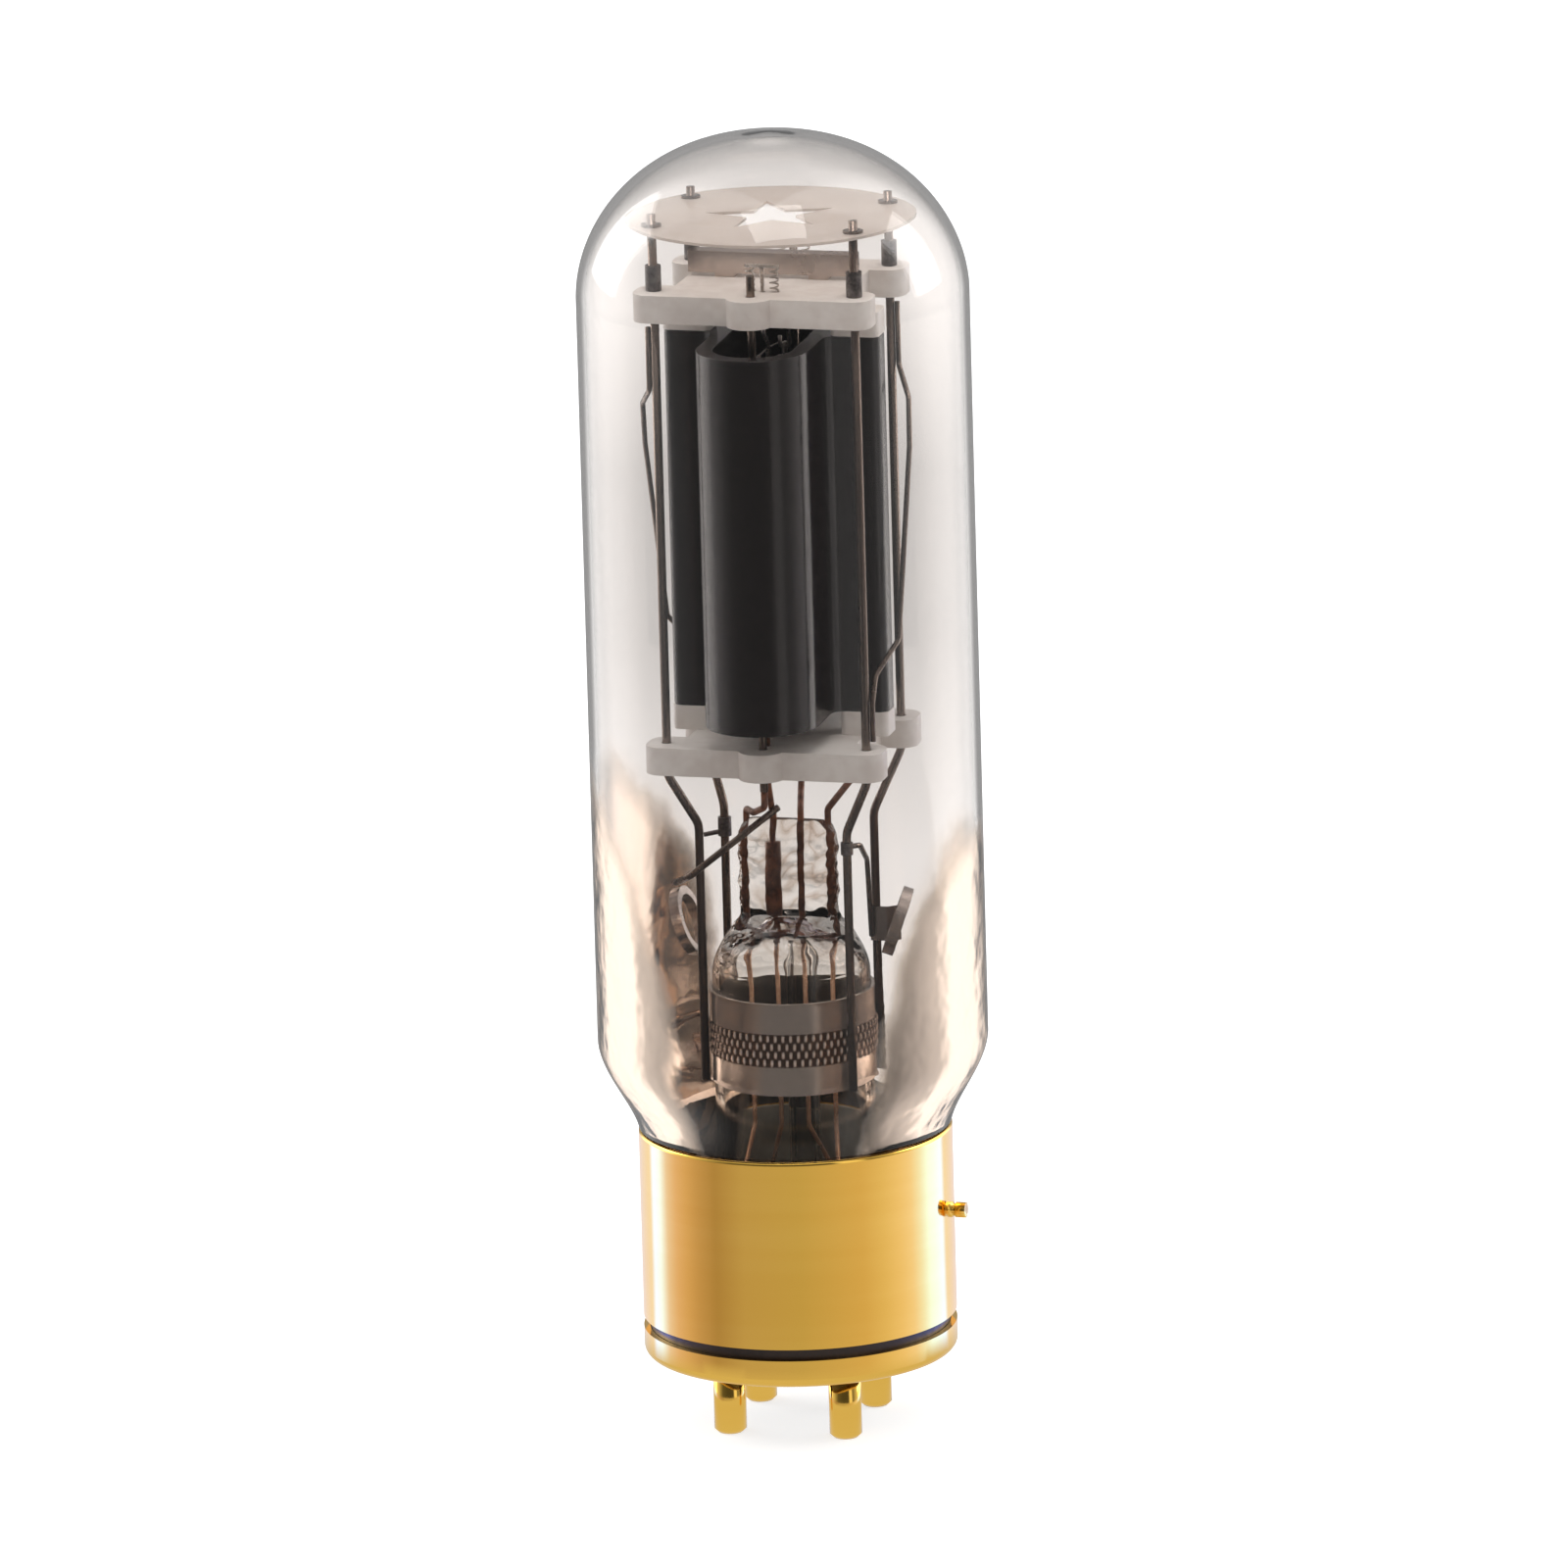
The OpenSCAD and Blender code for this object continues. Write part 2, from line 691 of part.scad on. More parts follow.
// Five-pointed opening: alternate points on two circles, one of them to the rear
star_in_r = star_r * 0.382;
star_points = [
    for (i = [0 : 9])
        let (r = i % 2 == 0 ? star_r : star_in_r)
        [r * sin(36 * i - star_turn), r * cos(36 * i - star_turn)]
];

module mica_disc()
    color([0.85, 0.78, 0.66, 0.6])
        translate([0, 0, mica_z])
            linear_extrude(mica_t)
                difference() {
                    circle(d = mica_d);
                    polygon(star_points);
                    for (c = corners)
                        translate([c[0] * rod_at[0], c[1] * rod_at[1]])
                            circle(r = eyelet_barrel_r + weld_gap, $fn = 32);
                }

// Flanged eyelets that grip the mica round each rod
module mica_eyelets()
    color([0.5, 0.48, 0.46])
        for (c = corners)
            translate([c[0] * rod_at[0], c[1] * rod_at[1], 0])
                difference() {
                    union() {
                        for (z = [mica_z - eyelet_t, mica_top_z])
                            translate([0, 0, z]) cylinder(r = eyelet_flange_r, h = eyelet_t, $fn = 32);
                        translate([0, 0, mica_z - eyelet_t])
                            cylinder(r = eyelet_barrel_r, h = mica_t + 2 * eyelet_t, $fn = 32);
                    }
                    translate([0, 0, mica_z - 1]) cylinder(r = rod_r + weld_gap, h = mica_t + 2, $fn = 32);
                }

// Folded sheet strap on the upper plate, with bent ends and two feet
bracket_l = 25;
bracket_h = 3.8;
bracket_d = 2.7;
bracket_t = 0.4;
bracket_y = -0.5;
bracket_lift = 0.6;
foot_x = 7;
foot_w = 3;

module top_bracket()
    color([0.6, 0.58, 0.56])
        translate([0, bracket_y, upper_top_z]) {
            translate([-bracket_l / 2, 0, bracket_lift])
                cube([bracket_l, bracket_t, bracket_h - bracket_lift]);
            translate([-bracket_l / 2, 0, bracket_h - bracket_t]) cube([bracket_l, bracket_d, bracket_t]);
            for (s = [-1, 1]) {
                translate([s * (bracket_l - bracket_t) / 2 - bracket_t / 2, 0, bracket_lift])
                    cube([bracket_t, bracket_d, bracket_h - bracket_lift]);
                translate([s * foot_x - foot_w / 2, 0, 0]) {
                    cube([foot_w, bracket_t, bracket_lift]);
                    cube([foot_w, bracket_d, bracket_t]);
                }
            }
        }

// Plan of the anode: a flattened tube across, a wing on each side, round in every corner
anode_corner_r = 1.6;

module anode_outline() {
    half_w = anode_tube_w / 2;
    half_t = anode_wing_t / 2;
    rotate(90) stadium(anode_tube_d, anode_tube_w);
    difference() {
        union() {
            rounded_bar(anode_wing_span, anode_wing_t, anode_corner_r);
            square([anode_tube_w + 2 * anode_fillet_r, anode_wing_t + 2 * anode_fillet_r], center = true);
        }
        for (sx = [-1, 1]) for (sy = [-1, 1])
            translate([sx * (half_w + anode_fillet_r), sy * (half_t + anode_fillet_r)])
                circle(r = anode_fillet_r);
    }
}

module anode()
    color([0.14, 0.13, 0.13])
        translate([0, 0, anode_z])
            linear_extrude(anode_h)
                difference() {
                    anode_outline();
                    rotate(90) stadium(anode_tube_d - 2 * anode_wall, anode_tube_w - 2 * anode_wall);
                }

// Tie wire from the top of one rod, out round the anode's wing, to the foot of the next rod
tie_r = 0.4;
tie_bend_r = 1.2;
tie_x = rod_at[0] + rod_r + tie_r + weld_gap;
tie_bow_out = 3.2;
tie_bow_x = anode_wing_span / 2 + tie_bow_out;
tie_bow_y = 1.8;
tie_turn_y = 4.5;
tie_slack = [0.6, 0.8];
tie_return = 2.2;
tie_clear = 1.3;
tie_fall = [7, 10.4, 17];
tie_rise = [11.6, 7, 3.4];

module anode_tie_wire()
    color([0.42, 0.36, 0.35])
        bent_wire(
            [
                [tie_x, rod_at[1], upper_z - tie_clear],
                [tie_x, rod_at[1], anode_top_z - tie_fall[0]],
                [tie_bow_x - tie_slack[0], tie_turn_y, anode_top_z - tie_fall[1]],
                [tie_bow_x, tie_bow_y, anode_top_z - tie_fall[2]],
                [tie_bow_x - tie_slack[1], -tie_turn_y, anode_z + tie_rise[0]],
                [tie_x, -rod_at[1] + tie_return, anode_z + tie_rise[1]],
                [tie_x, -rod_at[1], anode_z + tie_rise[2]],
                [tie_x, -rod_at[1], plate_top_z + tie_clear]
            ],
            tie_r, tie_bend_r
        );

module anode_tie_wire_right() anode_tie_wire();

module anode_tie_wire_left() rotate(180) anode_tie_wire();

module grid_rod(s)
    color([0.4, 0.36, 0.35])
        translate([0, s * grid_span / 2, grid_rod_foot_z])
            cylinder(d = grid_rod_d, h = upper_top_z + 3 - grid_rod_foot_z, $fn = 32);

// Winding round the two grid rods: a helix whose plan is a stadium
grid_wire_r = grid_wire_d / 2;
grid_half_l = grid_span / 2 + grid_rod_d / 2 + grid_wire_r + 0.1;
grid_half_w = grid_w / 2;
winding_margin = 3.5;
winding_points = 16;
function winding_plan(a) =
    let (arm = grid_half_l - grid_half_w)
    [grid_half_w * cos(a), grid_half_w * sin(a) + arm * (sin(a) >= 0 ? 1 : -1) * min(1, abs(sin(a)) * 4)];
winding_steps = grid_turns * winding_points;
winding_h = anode_h - 2 * winding_margin;
winding_path = [
    for (i = [0 : winding_steps])
        let (p = winding_plan(360 * (i + 0.5) / winding_points))
        [p[0], p[1], anode_z + winding_margin + winding_h * i / winding_steps]
];

module grid_winding()
    color([0.5, 0.45, 0.42]) tube(winding_path, [1, 0, 0], grid_wire_r, 4);

// Filament: one wire, up and down twice, from lead to lead
filament_r = filament_d / 2;
filament_top_z = anode_top_z - 3.2;
filament_mid_z = anode_z + 1;
loop_half = 0.6;
filament_loop_y = filament_loop_span / 2;

module filament()
    color([0.75, 0.72, 0.68])
        bent_wire(
            [
                [0, -filament_span / 2, filament_end_z],
                [0, -filament_loop_y - loop_half, filament_top_z],
                [0, -filament_loop_y + loop_half, filament_top_z],
                [0, -loop_half, filament_mid_z],
                [0, loop_half, filament_mid_z],
                [0, filament_loop_y - loop_half, filament_top_z],
                [0, filament_loop_y + loop_half, filament_top_z],
                [0, filament_span / 2, filament_end_z]
            ],
            filament_r, 0.45, 6
        );

// Post in the lower plate whose crook holds the middle of the filament down
post_r = 0.4;
module filament_post()
    color([0.4, 0.38, 0.37])
        translate([0, 0, plate_z - 0.6])
            cylinder(r = post_r, h = filament_mid_z - filament_r - weld_gap - plate_z + 0.6, $fn = 32);

// Cross bar that the springs lift, with the hook that pulls a filament loop up
spring_x = 1.8;
spring_coil_r = 0.6;
spring_wire_r = 0.14;
spring_h = 3.2;
hook_bar_z = upper_top_z + spring_h + 2 * spring_wire_r + 0.3;
hook_bar_r = 0.3;
hook_bar_l = 5;
hook_gap = 0.7;
hook_turn_z = anode_top_z + 1.4;
hook_fall = 1.8;

module filament_hook(s)
    color([0.45, 0.42, 0.4]) {
        hook_z = filament_top_z - filament_r - hook_r - weld_gap;
        translate([spring_mid_x - hook_bar_l / 2, s * spring_y, hook_bar_z]) rotate([0, 90, 0])
            cylinder(r = hook_bar_r, h = hook_bar_l, $fn = 24);
        bent_wire(
            [
                [spring_mid_x, s * spring_y, hook_bar_z - hook_bar_r - weld_gap],
                [spring_mid_x, s * spring_y, hook_turn_z],
                [hook_gap, s * filament_loop_y, hook_turn_z - hook_fall],
                [hook_gap, s * filament_loop_y, hook_z],
                [-hook_gap, s * filament_loop_y, hook_z],
                [-hook_gap, s * filament_loop_y, hook_z + 2 * hook_gap]
            ],
            hook_r, 0.5
        );
    }

// Small coil spring between the upper plate and the hook's cross bar
spring_points = 12;
module filament_spring(sx, sy) {
    steps = spring_turns * spring_points;
    angle = 360 / spring_points;
    path = [
        for (i = [0 : steps])
            [
                spring_coil_r * cos(angle * i),
                spring_coil_r * sin(angle * i),
                spring_wire_r + spring_h * i / steps
            ]
    ];
    color([0.6, 0.58, 0.55])
        translate([spring_mid_x + sx * spring_x, sy * spring_y, upper_top_z + weld_gap])
            tube(path, [1, 0, 0], spring_wire_r, 6);
}

// Clamp pinched on rod i
module rod_clamp(i, z, h, r)
    translate([rod_foot[i][0], rod_foot[i][1], z])
        difference() {
            cylinder(r = r, h = h, $fn = 32);
            translate([0, 0, -1]) cylinder(r = rod_r + weld_gap, h = h + 2, $fn = 32);
        }

clamp_r = 1;
clamp_h = 2.8;
clamp_z = plate_z - 14;
stub_r = 0.35;
stub_l = 2;

module rod_clamp_rear()
    color([0.16, 0.15, 0.15]) {
        rod_clamp(3, clamp_z, clamp_h, clamp_r);
        wire_run(
            [rod_foot[3][0] - clamp_r + 0.2, rod_foot[3][1] - 0.3, clamp_z + 0.6],
            [rod_foot[3][0] - clamp_r - stub_l, rod_foot[3][1] - 0.9, clamp_z + 0.2],
            stub_r
        );
    }

front_clamp_r = 0.9;
front_clamp_h = 1.8;
front_clamp_z = rod_knee_z - 3.2;

module rod_clamp_front()
    color([0.18, 0.17, 0.17]) rod_clamp(1, front_clamp_z, front_clamp_h, front_clamp_r);

// Getter rings: an open channel bent round, facing the bulb's wall and a little down
getter_r = 5.15;
getter_in_r = 3.9;
getter_w = 1.5;
getter_lip_t = 0.3;
getter_floor_t = 0.4;
getter_left_out = 15;
getter_left_front = 1.5;
getter_left_drop = 25;
getter_left_at = [-getter_left_out, -getter_left_front, plate_z - getter_left_drop];
getter_left_face = unit([-0.943, -0.016, -0.324]);
getter_right_out = 16;
getter_right_back = 1;
getter_right_drop = 24.4;
getter_right_at = [getter_right_out, getter_right_back, plate_z - getter_right_drop];
getter_right_face = unit([0.93, 0.16, -0.34]);
getter_arm_r = 0.5;

module getter_ring(at, face) {
    across = unit(cross([0, 0, 1], face));
    color([0.5, 0.47, 0.45])
        place(at, across, cross(face, across), face)
            rotate_extrude()
                difference() {
                    translate([getter_in_r, -getter_w / 2]) square([getter_r - getter_in_r, getter_w]);
                    translate([getter_in_r + getter_lip_t, -getter_w / 2 + getter_floor_t])
                        square([getter_r - getter_in_r - 2 * getter_lip_t, getter_w]);
                }
}

module getter_ring_left() getter_ring(getter_left_at, getter_left_face);

module getter_ring_right() getter_ring(getter_right_at, getter_right_face);

// Upper end of a getter ring, where its arm is welded
function ring_top(at, face) = at + getter_r * cross(face, unit(cross([0, 0, 1], face)));

arm_root_side = 0.7;
arm_root_front = 7.3;
arm_root_drop = 5.8;
arm_root = [arm_root_side, -arm_root_front, plate_z - arm_root_drop];
arm_past_rod = [0.95, 1.9];
arm_corner_drop = 16.7;
arm_corner = [rod_foot[0][0] - arm_past_rod[0], rod_foot[0][1] - arm_past_rod[1], plate_z - arm_corner_drop];

module getter_arm_left()
    color([0.45, 0.4, 0.38])
        bent_wire(
            [
                arm_root,
                arm_corner,
                ring_top(getter_left_at, getter_left_face) + [0, 0, getter_arm_r + 0.3]
            ],
            getter_arm_r, 1.2
        );

getter_wire_r = 0.4;
strap_t = 0.4;
strap_h = 5.1;
strap_x = rod_foot[2][0];
strap_y = rod_foot[2][1] - rod_r - weld_gap - strap_t;
strap_drop = 28.6;
strap_z = plate_z - strap_drop;
strap_turn = 1.8;
clamp_side_y = rod_foot[1][1] + front_clamp_r + getter_wire_r + weld_gap;
wire_in = 0.4;
wire_out = 1.1;
wire_run_y = 2;
wire_drop = 3.4;

module getter_arm_right()
    color([0.4, 0.36, 0.35])
        bent_wire(
            [
                [rod_foot[1][0] + wire_in, clamp_side_y, front_clamp_z + front_clamp_h / 2],
                [rod_foot[1][0] + wire_out, clamp_side_y + wire_run_y, front_clamp_z + front_clamp_h / 3],
                [strap_x - wire_in, strap_y - wire_run_y, front_clamp_z - wire_drop],
                [strap_x - wire_in, strap_y - getter_wire_r - weld_gap, strap_z + 2 * getter_wire_r]
            ],
            getter_wire_r, 1
        );

// Flat strap from the rear right rod to the right getter ring
strap_end_in = 1.35;
strap_end_back = 5.3;
strap_end = [getter_right_at[0] - strap_end_in, getter_right_at[1] + strap_end_back];

module getter_strap_right()
    color([0.3, 0.27, 0.25])
        translate([0, 0, strap_z]) linear_extrude(strap_h)
            polygon([
                [strap_x - rod_r, strap_y],
                [strap_x + strap_turn, strap_y],
                strap_end,
                strap_end + strap_t * [0.64, 0.77],
                [strap_x + strap_turn + strap_t / 3, strap_y + strap_t],
                [strap_x - rod_r, strap_y + strap_t]
            ]);

glass_envelope();
base_shell();
base_ring();
base_wafer();
base_cement();
bayonet_pin();
contact_pin(corners[0]);  // contact_pin_1
contact_pin(corners[1]);  // contact_pin_2
contact_pin(corners[2]);  // contact_pin_3
contact_pin(corners[3]);  // contact_pin_4
stem_glass();
stem_collar();
grid_lead();
filament_lead_front();
filament_lead_rear();
anode_lead();
pin_lead(0, corners[0]);  // pin_lead_1
pin_lead(3, corners[1]);  // pin_lead_2
pin_lead(2, corners[2]);  // pin_lead_3
pin_lead(1, corners[3]);  // pin_lead_4
support_rod(0);  // support_rod_1
support_rod(1);  // support_rod_2
support_rod(2);  // support_rod_3
support_rod(3);  // support_rod_4
rod_sleeve(corners[0]);  // rod_sleeve_1
rod_sleeve(corners[1]);  // rod_sleeve_2
rod_sleeve(corners[2]);  // rod_sleeve_3
rod_sleeve(corners[3]);  // rod_sleeve_4
lower_ceramic_plate();
upper_ceramic_plate();
mica_disc();
mica_eyelets();
top_bracket();
anode();
anode_tie_wire_left();
anode_tie_wire_right();
grid_rod(-1);  // grid_rod_front
grid_rod(1);  // grid_rod_rear
grid_winding();
filament();
filament_post();
filament_hook(-1);  // filament_hook_front
filament_hook(1);  // filament_hook_rear
filament_spring(-1, -1);  // filament_spring_1
filament_spring(1, -1);  // filament_spring_2
filament_spring(1, 1);  // filament_spring_3
filament_spring(-1, 1);  // filament_spring_4
rod_clamp_rear();
rod_clamp_front();
getter_arm_left();
getter_ring_left();
getter_arm_right();
getter_strap_right();
getter_ring_right();
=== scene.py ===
"""Dresses the power triode tube and sets it in a plain white studio.

Everything is in metres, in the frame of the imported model: the pin tips stand on
z = 0, the bulb's axis is the z axis, and the bayonet pin points along +x.
"""

import logging
import math
from dataclasses import dataclass, field
from enum import Enum
from typing import NamedTuple

import bmesh
import bpy
import numpy as np
from mathutils import Matrix, Vector


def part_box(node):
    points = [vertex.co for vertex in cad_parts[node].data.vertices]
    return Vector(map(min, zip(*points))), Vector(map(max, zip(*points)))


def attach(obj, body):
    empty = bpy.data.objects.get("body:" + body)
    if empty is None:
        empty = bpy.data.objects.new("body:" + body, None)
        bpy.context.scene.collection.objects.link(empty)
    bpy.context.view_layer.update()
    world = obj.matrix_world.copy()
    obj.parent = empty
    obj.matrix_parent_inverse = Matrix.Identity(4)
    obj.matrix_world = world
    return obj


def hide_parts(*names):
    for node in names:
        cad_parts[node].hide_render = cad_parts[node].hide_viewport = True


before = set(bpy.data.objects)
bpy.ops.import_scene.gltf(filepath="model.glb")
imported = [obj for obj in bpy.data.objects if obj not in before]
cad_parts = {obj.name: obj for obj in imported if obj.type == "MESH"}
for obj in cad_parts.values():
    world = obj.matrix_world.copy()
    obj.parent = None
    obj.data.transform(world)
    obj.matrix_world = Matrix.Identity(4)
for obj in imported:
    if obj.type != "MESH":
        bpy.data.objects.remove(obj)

log = logging.getLogger("tube")
MM = 0.001
BODY = "root"
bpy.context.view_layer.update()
GLASS_IOR = 1.48

Color = tuple[float, float, float]
Point = tuple[float, float, float]
Socket = bpy.types.NodeSocket
WHITE: Color = (1.0, 1.0, 1.0)
# Painted light for the band's dots: painted shade in the hollows at 0, plain metal at 0.5, and a painted
# highlight brighter than the metal on the tips at 1.
PAINTED_DOT_LIGHT_TINTS = [(0.0, (0.2, 0.15, 0.13)), (0.5, WHITE), (1.0, (1.6, 1.6, 1.6))]


# ------------------------ node trees


class Slope(NamedTuple):
    """A level that runs straight from low, at start, to high, at end, and stays there beyond."""

    start: float
    end: float
    low: float = 0.0
    high: float = 1.0


class Tree:
    """A material's or a world's node tree, with a short way to add and link nodes."""

    def __init__(self, owner: bpy.types.Material | bpy.types.World) -> None:
        """Clears the owner's tree.

        Args:
            owner: the material or the world.
        """
        owner.use_nodes = True
        self.nodes = owner.node_tree.nodes
        self.links = owner.node_tree.links
        self.nodes.clear()

    def add(self, kind: str, inputs: dict | None = None, **settings: object) -> bpy.types.Node:
        """Adds a node, sets its properties, and sets or links its inputs.

        Args:
            kind: the node type's name after "ShaderNode".
            inputs: values or sockets for its inputs, by name or by number.
            settings: properties of the node itself.

        Returns:
            The new node.
        """
        node = self.nodes.new("ShaderNode" + kind)
        for key, value in settings.items():
            setattr(node, key, value)
        for key, value in (inputs or {}).items():
            if isinstance(value, Socket):
                self.links.new(value, node.inputs[key])
            else:
                node.inputs[key].default_value = value
        return node

    def math(self, operation: str, a: object, b: object = 0.0, clamp: bool = False) -> Socket:
        """Returns the result of a Math node on a and b, kept from 0 to 1 if clamp is set."""
        return self.add("Math", {0: a, 1: b}, operation=operation, use_clamp=clamp).outputs[0]

    def times(self, a: object, b: object) -> Socket:
        """Returns a times b."""
        return self.math("MULTIPLY", a, b)

    def plus(self, a: object, b: object) -> Socket:
        """Returns a plus b."""
        return self.math("ADD", a, b)

    def larger(self, a: object, b: object) -> Socket:
        """Returns the larger of a and b."""
        return self.math("MAXIMUM", a, b)

    def ramp(self, factor: Socket, stops: list[tuple[float, Color]]) -> Socket:
        """Returns the colour of a ramp at a factor.

        Args:
            factor: where on the ramp, 0 to 1.
            stops: position and colour of each stop, in order.

        Returns:
            The colour.
        """
        node = self.add("ValToRGB", {"Fac": factor})
        while len(node.color_ramp.elements) < len(stops):
            node.color_ramp.elements.new(0.5)
        for element, (position, color) in zip(node.color_ramp.elements, stops):
            element.position, element.color = position, (*color, 1.0)
        return node.outputs["Color"]

    def levels(self, factor: Socket, stops: tuple[tuple[float, float], ...]) -> Socket:
        """Returns the grey of a ramp at a factor, from the position and level of each stop."""
        return self.ramp(factor, [(at, (level,) * 3) for at, level in stops])

    def length(self, place: Socket) -> Socket:
        """Returns how far a place lies from the origin."""
        return self.add("VectorMath", {0: place}, operation="LENGTH").outputs["Value"]

    def fit(self, value: Socket, start: float, end: float, low: float = 0.0, high: float = 1.0) -> Socket:
        """Returns low where a value is at start, high where it is at end, and a line between them."""
        limits = {"Value": value, "From Min": start, "From Max": end, "To Min": low, "To Max": high}
        return self.add("MapRange", limits).outputs[0]

    def soft_fit(self, value: Socket, start: float, end: float) -> Socket:
        """Returns 0 where a value is at start, 1 where it is at end, and an S-curve between them."""
        limits = {"Value": value, "From Min": start, "From Max": end}
        return self.add("MapRange", limits, interpolation_type="SMOOTHSTEP").outputs[0]

    def tinted(self, color: Socket, tint: Socket, share: Socket | float = 1.0) -> Socket:
        """Returns a colour times a share of a tint."""
        inputs = {0: share, 6: color, 7: tint}
        return self.add("Mix", inputs, data_type="RGBA", blend_type="MULTIPLY").outputs[2]

    def noise(self, place: Socket, scale: float, detail: float) -> Socket:
        """Returns noise from 0 to 1 at a place, with a number of repeats a metre."""
        return self.add("TexNoise", {"Vector": place, "Scale": scale, "Detail": detail}).outputs[0]

    def height(self, place: Socket) -> Socket:
        """Returns the z part of a place or a direction."""
        return self.add("SeparateXYZ", {"Vector": place}).outputs["Z"]

    def principled(self, inputs: dict) -> None:
        """Ends a material's tree in a principled shader with these inputs."""
        shader = self.add("BsdfPrincipled", inputs)
        self.add("OutputMaterial", {"Surface": shader.outputs[0]})


# ------------------------ finishes


class Pattern(Enum):
    """How a finish varies over its surface."""

    CLOUD = "cloud"
    STREAK = "streak"
    SPECK = "speck"
    TURNED = "turned"


@dataclass(frozen=True)
class Finish:
    """An opaque finish: two colours, a pattern that mixes them, and a fine relief.

    Args:
        slot: the record's material slot.
        light: colour of the cleaner parts.
        dark: colour of the duller parts.
        metallic: 1 for metal.
        roughness: lowest and highest roughness.
        pattern: how the colours mix.
        scale: size of the pattern, in repeats a metre.
        relief: depth of the fine relief, in metres.
        clear: share of the light that passes through.
        ior: index of refraction, which sets how strongly the surface mirrors.
        tone: name of a point attribute that paints light: painted shade at 0 in the hollows, plain metal at
            0.5 and painted highlights at 1 on the tips.
    """

    slot: str
    light: Color
    dark: Color
    metallic: float = 0.0
    roughness: tuple[float, float] = (0.4, 0.6)
    pattern: Pattern = Pattern.CLOUD
    scale: float = 150.0
    relief: float = 0.00002
    clear: float = 0.0
    ior: float = 1.5
    tone: str = ""

    def stretch(self) -> tuple[float, float, float]:
        """Returns the pattern's stretch along x, y and z."""
        return {
            Pattern.STREAK: (1.0, 1.0, 0.04),
            Pattern.TURNED: (0.06, 0.06, 1.0),
        }.get(self.pattern, (1.0, 1.0, 1.0))

    def material(self) -> bpy.types.Material:
        """Returns the finish as a material on object coordinates, made once."""
        name = self.slot + "_finish"
        if name in bpy.data.materials:
            return bpy.data.materials[name]
        made = bpy.data.materials.new(name)
        tree = Tree(made)
        place = tree.add("TexCoord").outputs["Object"]
        grain = tree.add("Mapping", {"Vector": place, "Scale": self.stretch()}).outputs[0]
        fine = tree.noise(grain, self.scale * 6, 4.0)
        broad = tree.noise(grain, self.scale, 3.0)
        mixed = tree.plus(tree.times(broad, 0.65), tree.times(fine, 0.35))
        share = tree.soft_fit(mixed, 0.36, 0.64)
        color = tree.ramp(share, [(0.0, self.dark), (1.0, self.light)])
        if self.pattern is Pattern.SPECK:
            dots = tree.add("TexVoronoi", {"Vector": place, "Scale": self.scale * 9}).outputs["Distance"]
            near = tree.math("LESS_THAN", dots, 0.12)
            color = tree.add("Mix", {0: near, 6: color, 7: (*self.dark, 1.0)}, data_type="RGBA").outputs[2]
        # The tone attribute paints shade into the hollows and highlights onto the tips.
        if self.tone:
            painted_light = tree.add("Attribute", attribute_name=self.tone).outputs["Fac"]
            color = tree.tinted(color, tree.ramp(painted_light, PAINTED_DOT_LIGHT_TINTS))
        inputs = {
            "Base Color": color,
            "Metallic": self.metallic,
            "Roughness": tree.fit(share, 0.0, 1.0, self.roughness[1], self.roughness[0]),
            "Transmission Weight": self.clear,
            "IOR": self.ior,
        }
        if self.relief:
            bump = {"Height": fine, "Distance": self.relief, "Strength": 0.6}
            inputs["Normal"] = tree.add("Bump", bump).outputs[0]
        tree.principled(inputs)
        return made


@dataclass(frozen=True)
class Glass:
    """Clear glass whose edges look grey because the wall there is long.

    Args:
        slot: the record's material slot.
        clear: tint where the wall is seen square on.
        edge: tint where it is seen on edge.
        ripple: depth of the slow waves in the surface, in metres.
        ripple_scale: waves a metre.
        painted_shade: tint of the painted shade lines that follow the waves; they stand in for the dark
            streaks that the rippled press refracts.
        pinch: how the waves come in with the height, in metres.
    """

    slot: str
    clear: Color
    edge: Color
    ripple: float = 0.0
    ripple_scale: float = 60.0
    painted_shade: Color = WHITE
    pinch: Slope = Slope(69.0 * MM, 77.0 * MM)

    def tint(self, tree: Tree) -> Socket:
        """Returns the tint, which goes from clear to edge with the sixth power of the turn."""
        facing = tree.add("LayerWeight", {"Blend": 0.5}).outputs["Facing"]
        return tree.ramp(tree.math("POWER", facing, 6.0), [(0.0, self.clear), (1.0, self.edge)])

    def with_painted_shade(self, tree: Tree, wave: Socket, pinched: Socket) -> Socket:
        """Returns the tint with painted shade lines where the waves cross their middle, in the pinched press
        only; they stand in for the dark streaks the ripples refract.
        """
        off = tree.math("ABSOLUTE", tree.math("SUBTRACT", wave, 0.5))
        # Painted shade: dark lines where the waves cross their middle.
        line = tree.ramp(off, [(0.0, self.painted_shade), (0.03, (0.8, 0.74, 0.7)), (0.08, WHITE)])
        return tree.tinted(self.tint(tree), line, pinched)

    def material(self) -> bpy.types.Material:
        """Returns the glass as a material, made once."""
        name = self.slot + "_finish"
        if name in bpy.data.materials:
            return bpy.data.materials[name]
        made = bpy.data.materials.new(name)
        tree = Tree(made)
        inputs = {"Roughness": 0.0, "IOR": GLASS_IOR, "Transmission Weight": 1.0}
        if self.ripple:
            place = tree.add("TexCoord").outputs["Object"]
            wave = tree.noise(place, self.ripple_scale, 1.0)
            pinched = tree.fit(tree.height(place), *self.pinch)
            bump = {"Height": tree.times(wave, pinched), "Distance": self.ripple}
            inputs["Normal"] = tree.add("Bump", bump).outputs[0]
            # Painted shade lines along the ripples of the press.
            inputs["Base Color"] = self.with_painted_shade(tree, wave, pinched)
        else:
            inputs["Base Color"] = self.tint(tree)
        tree.principled(inputs)
        return made


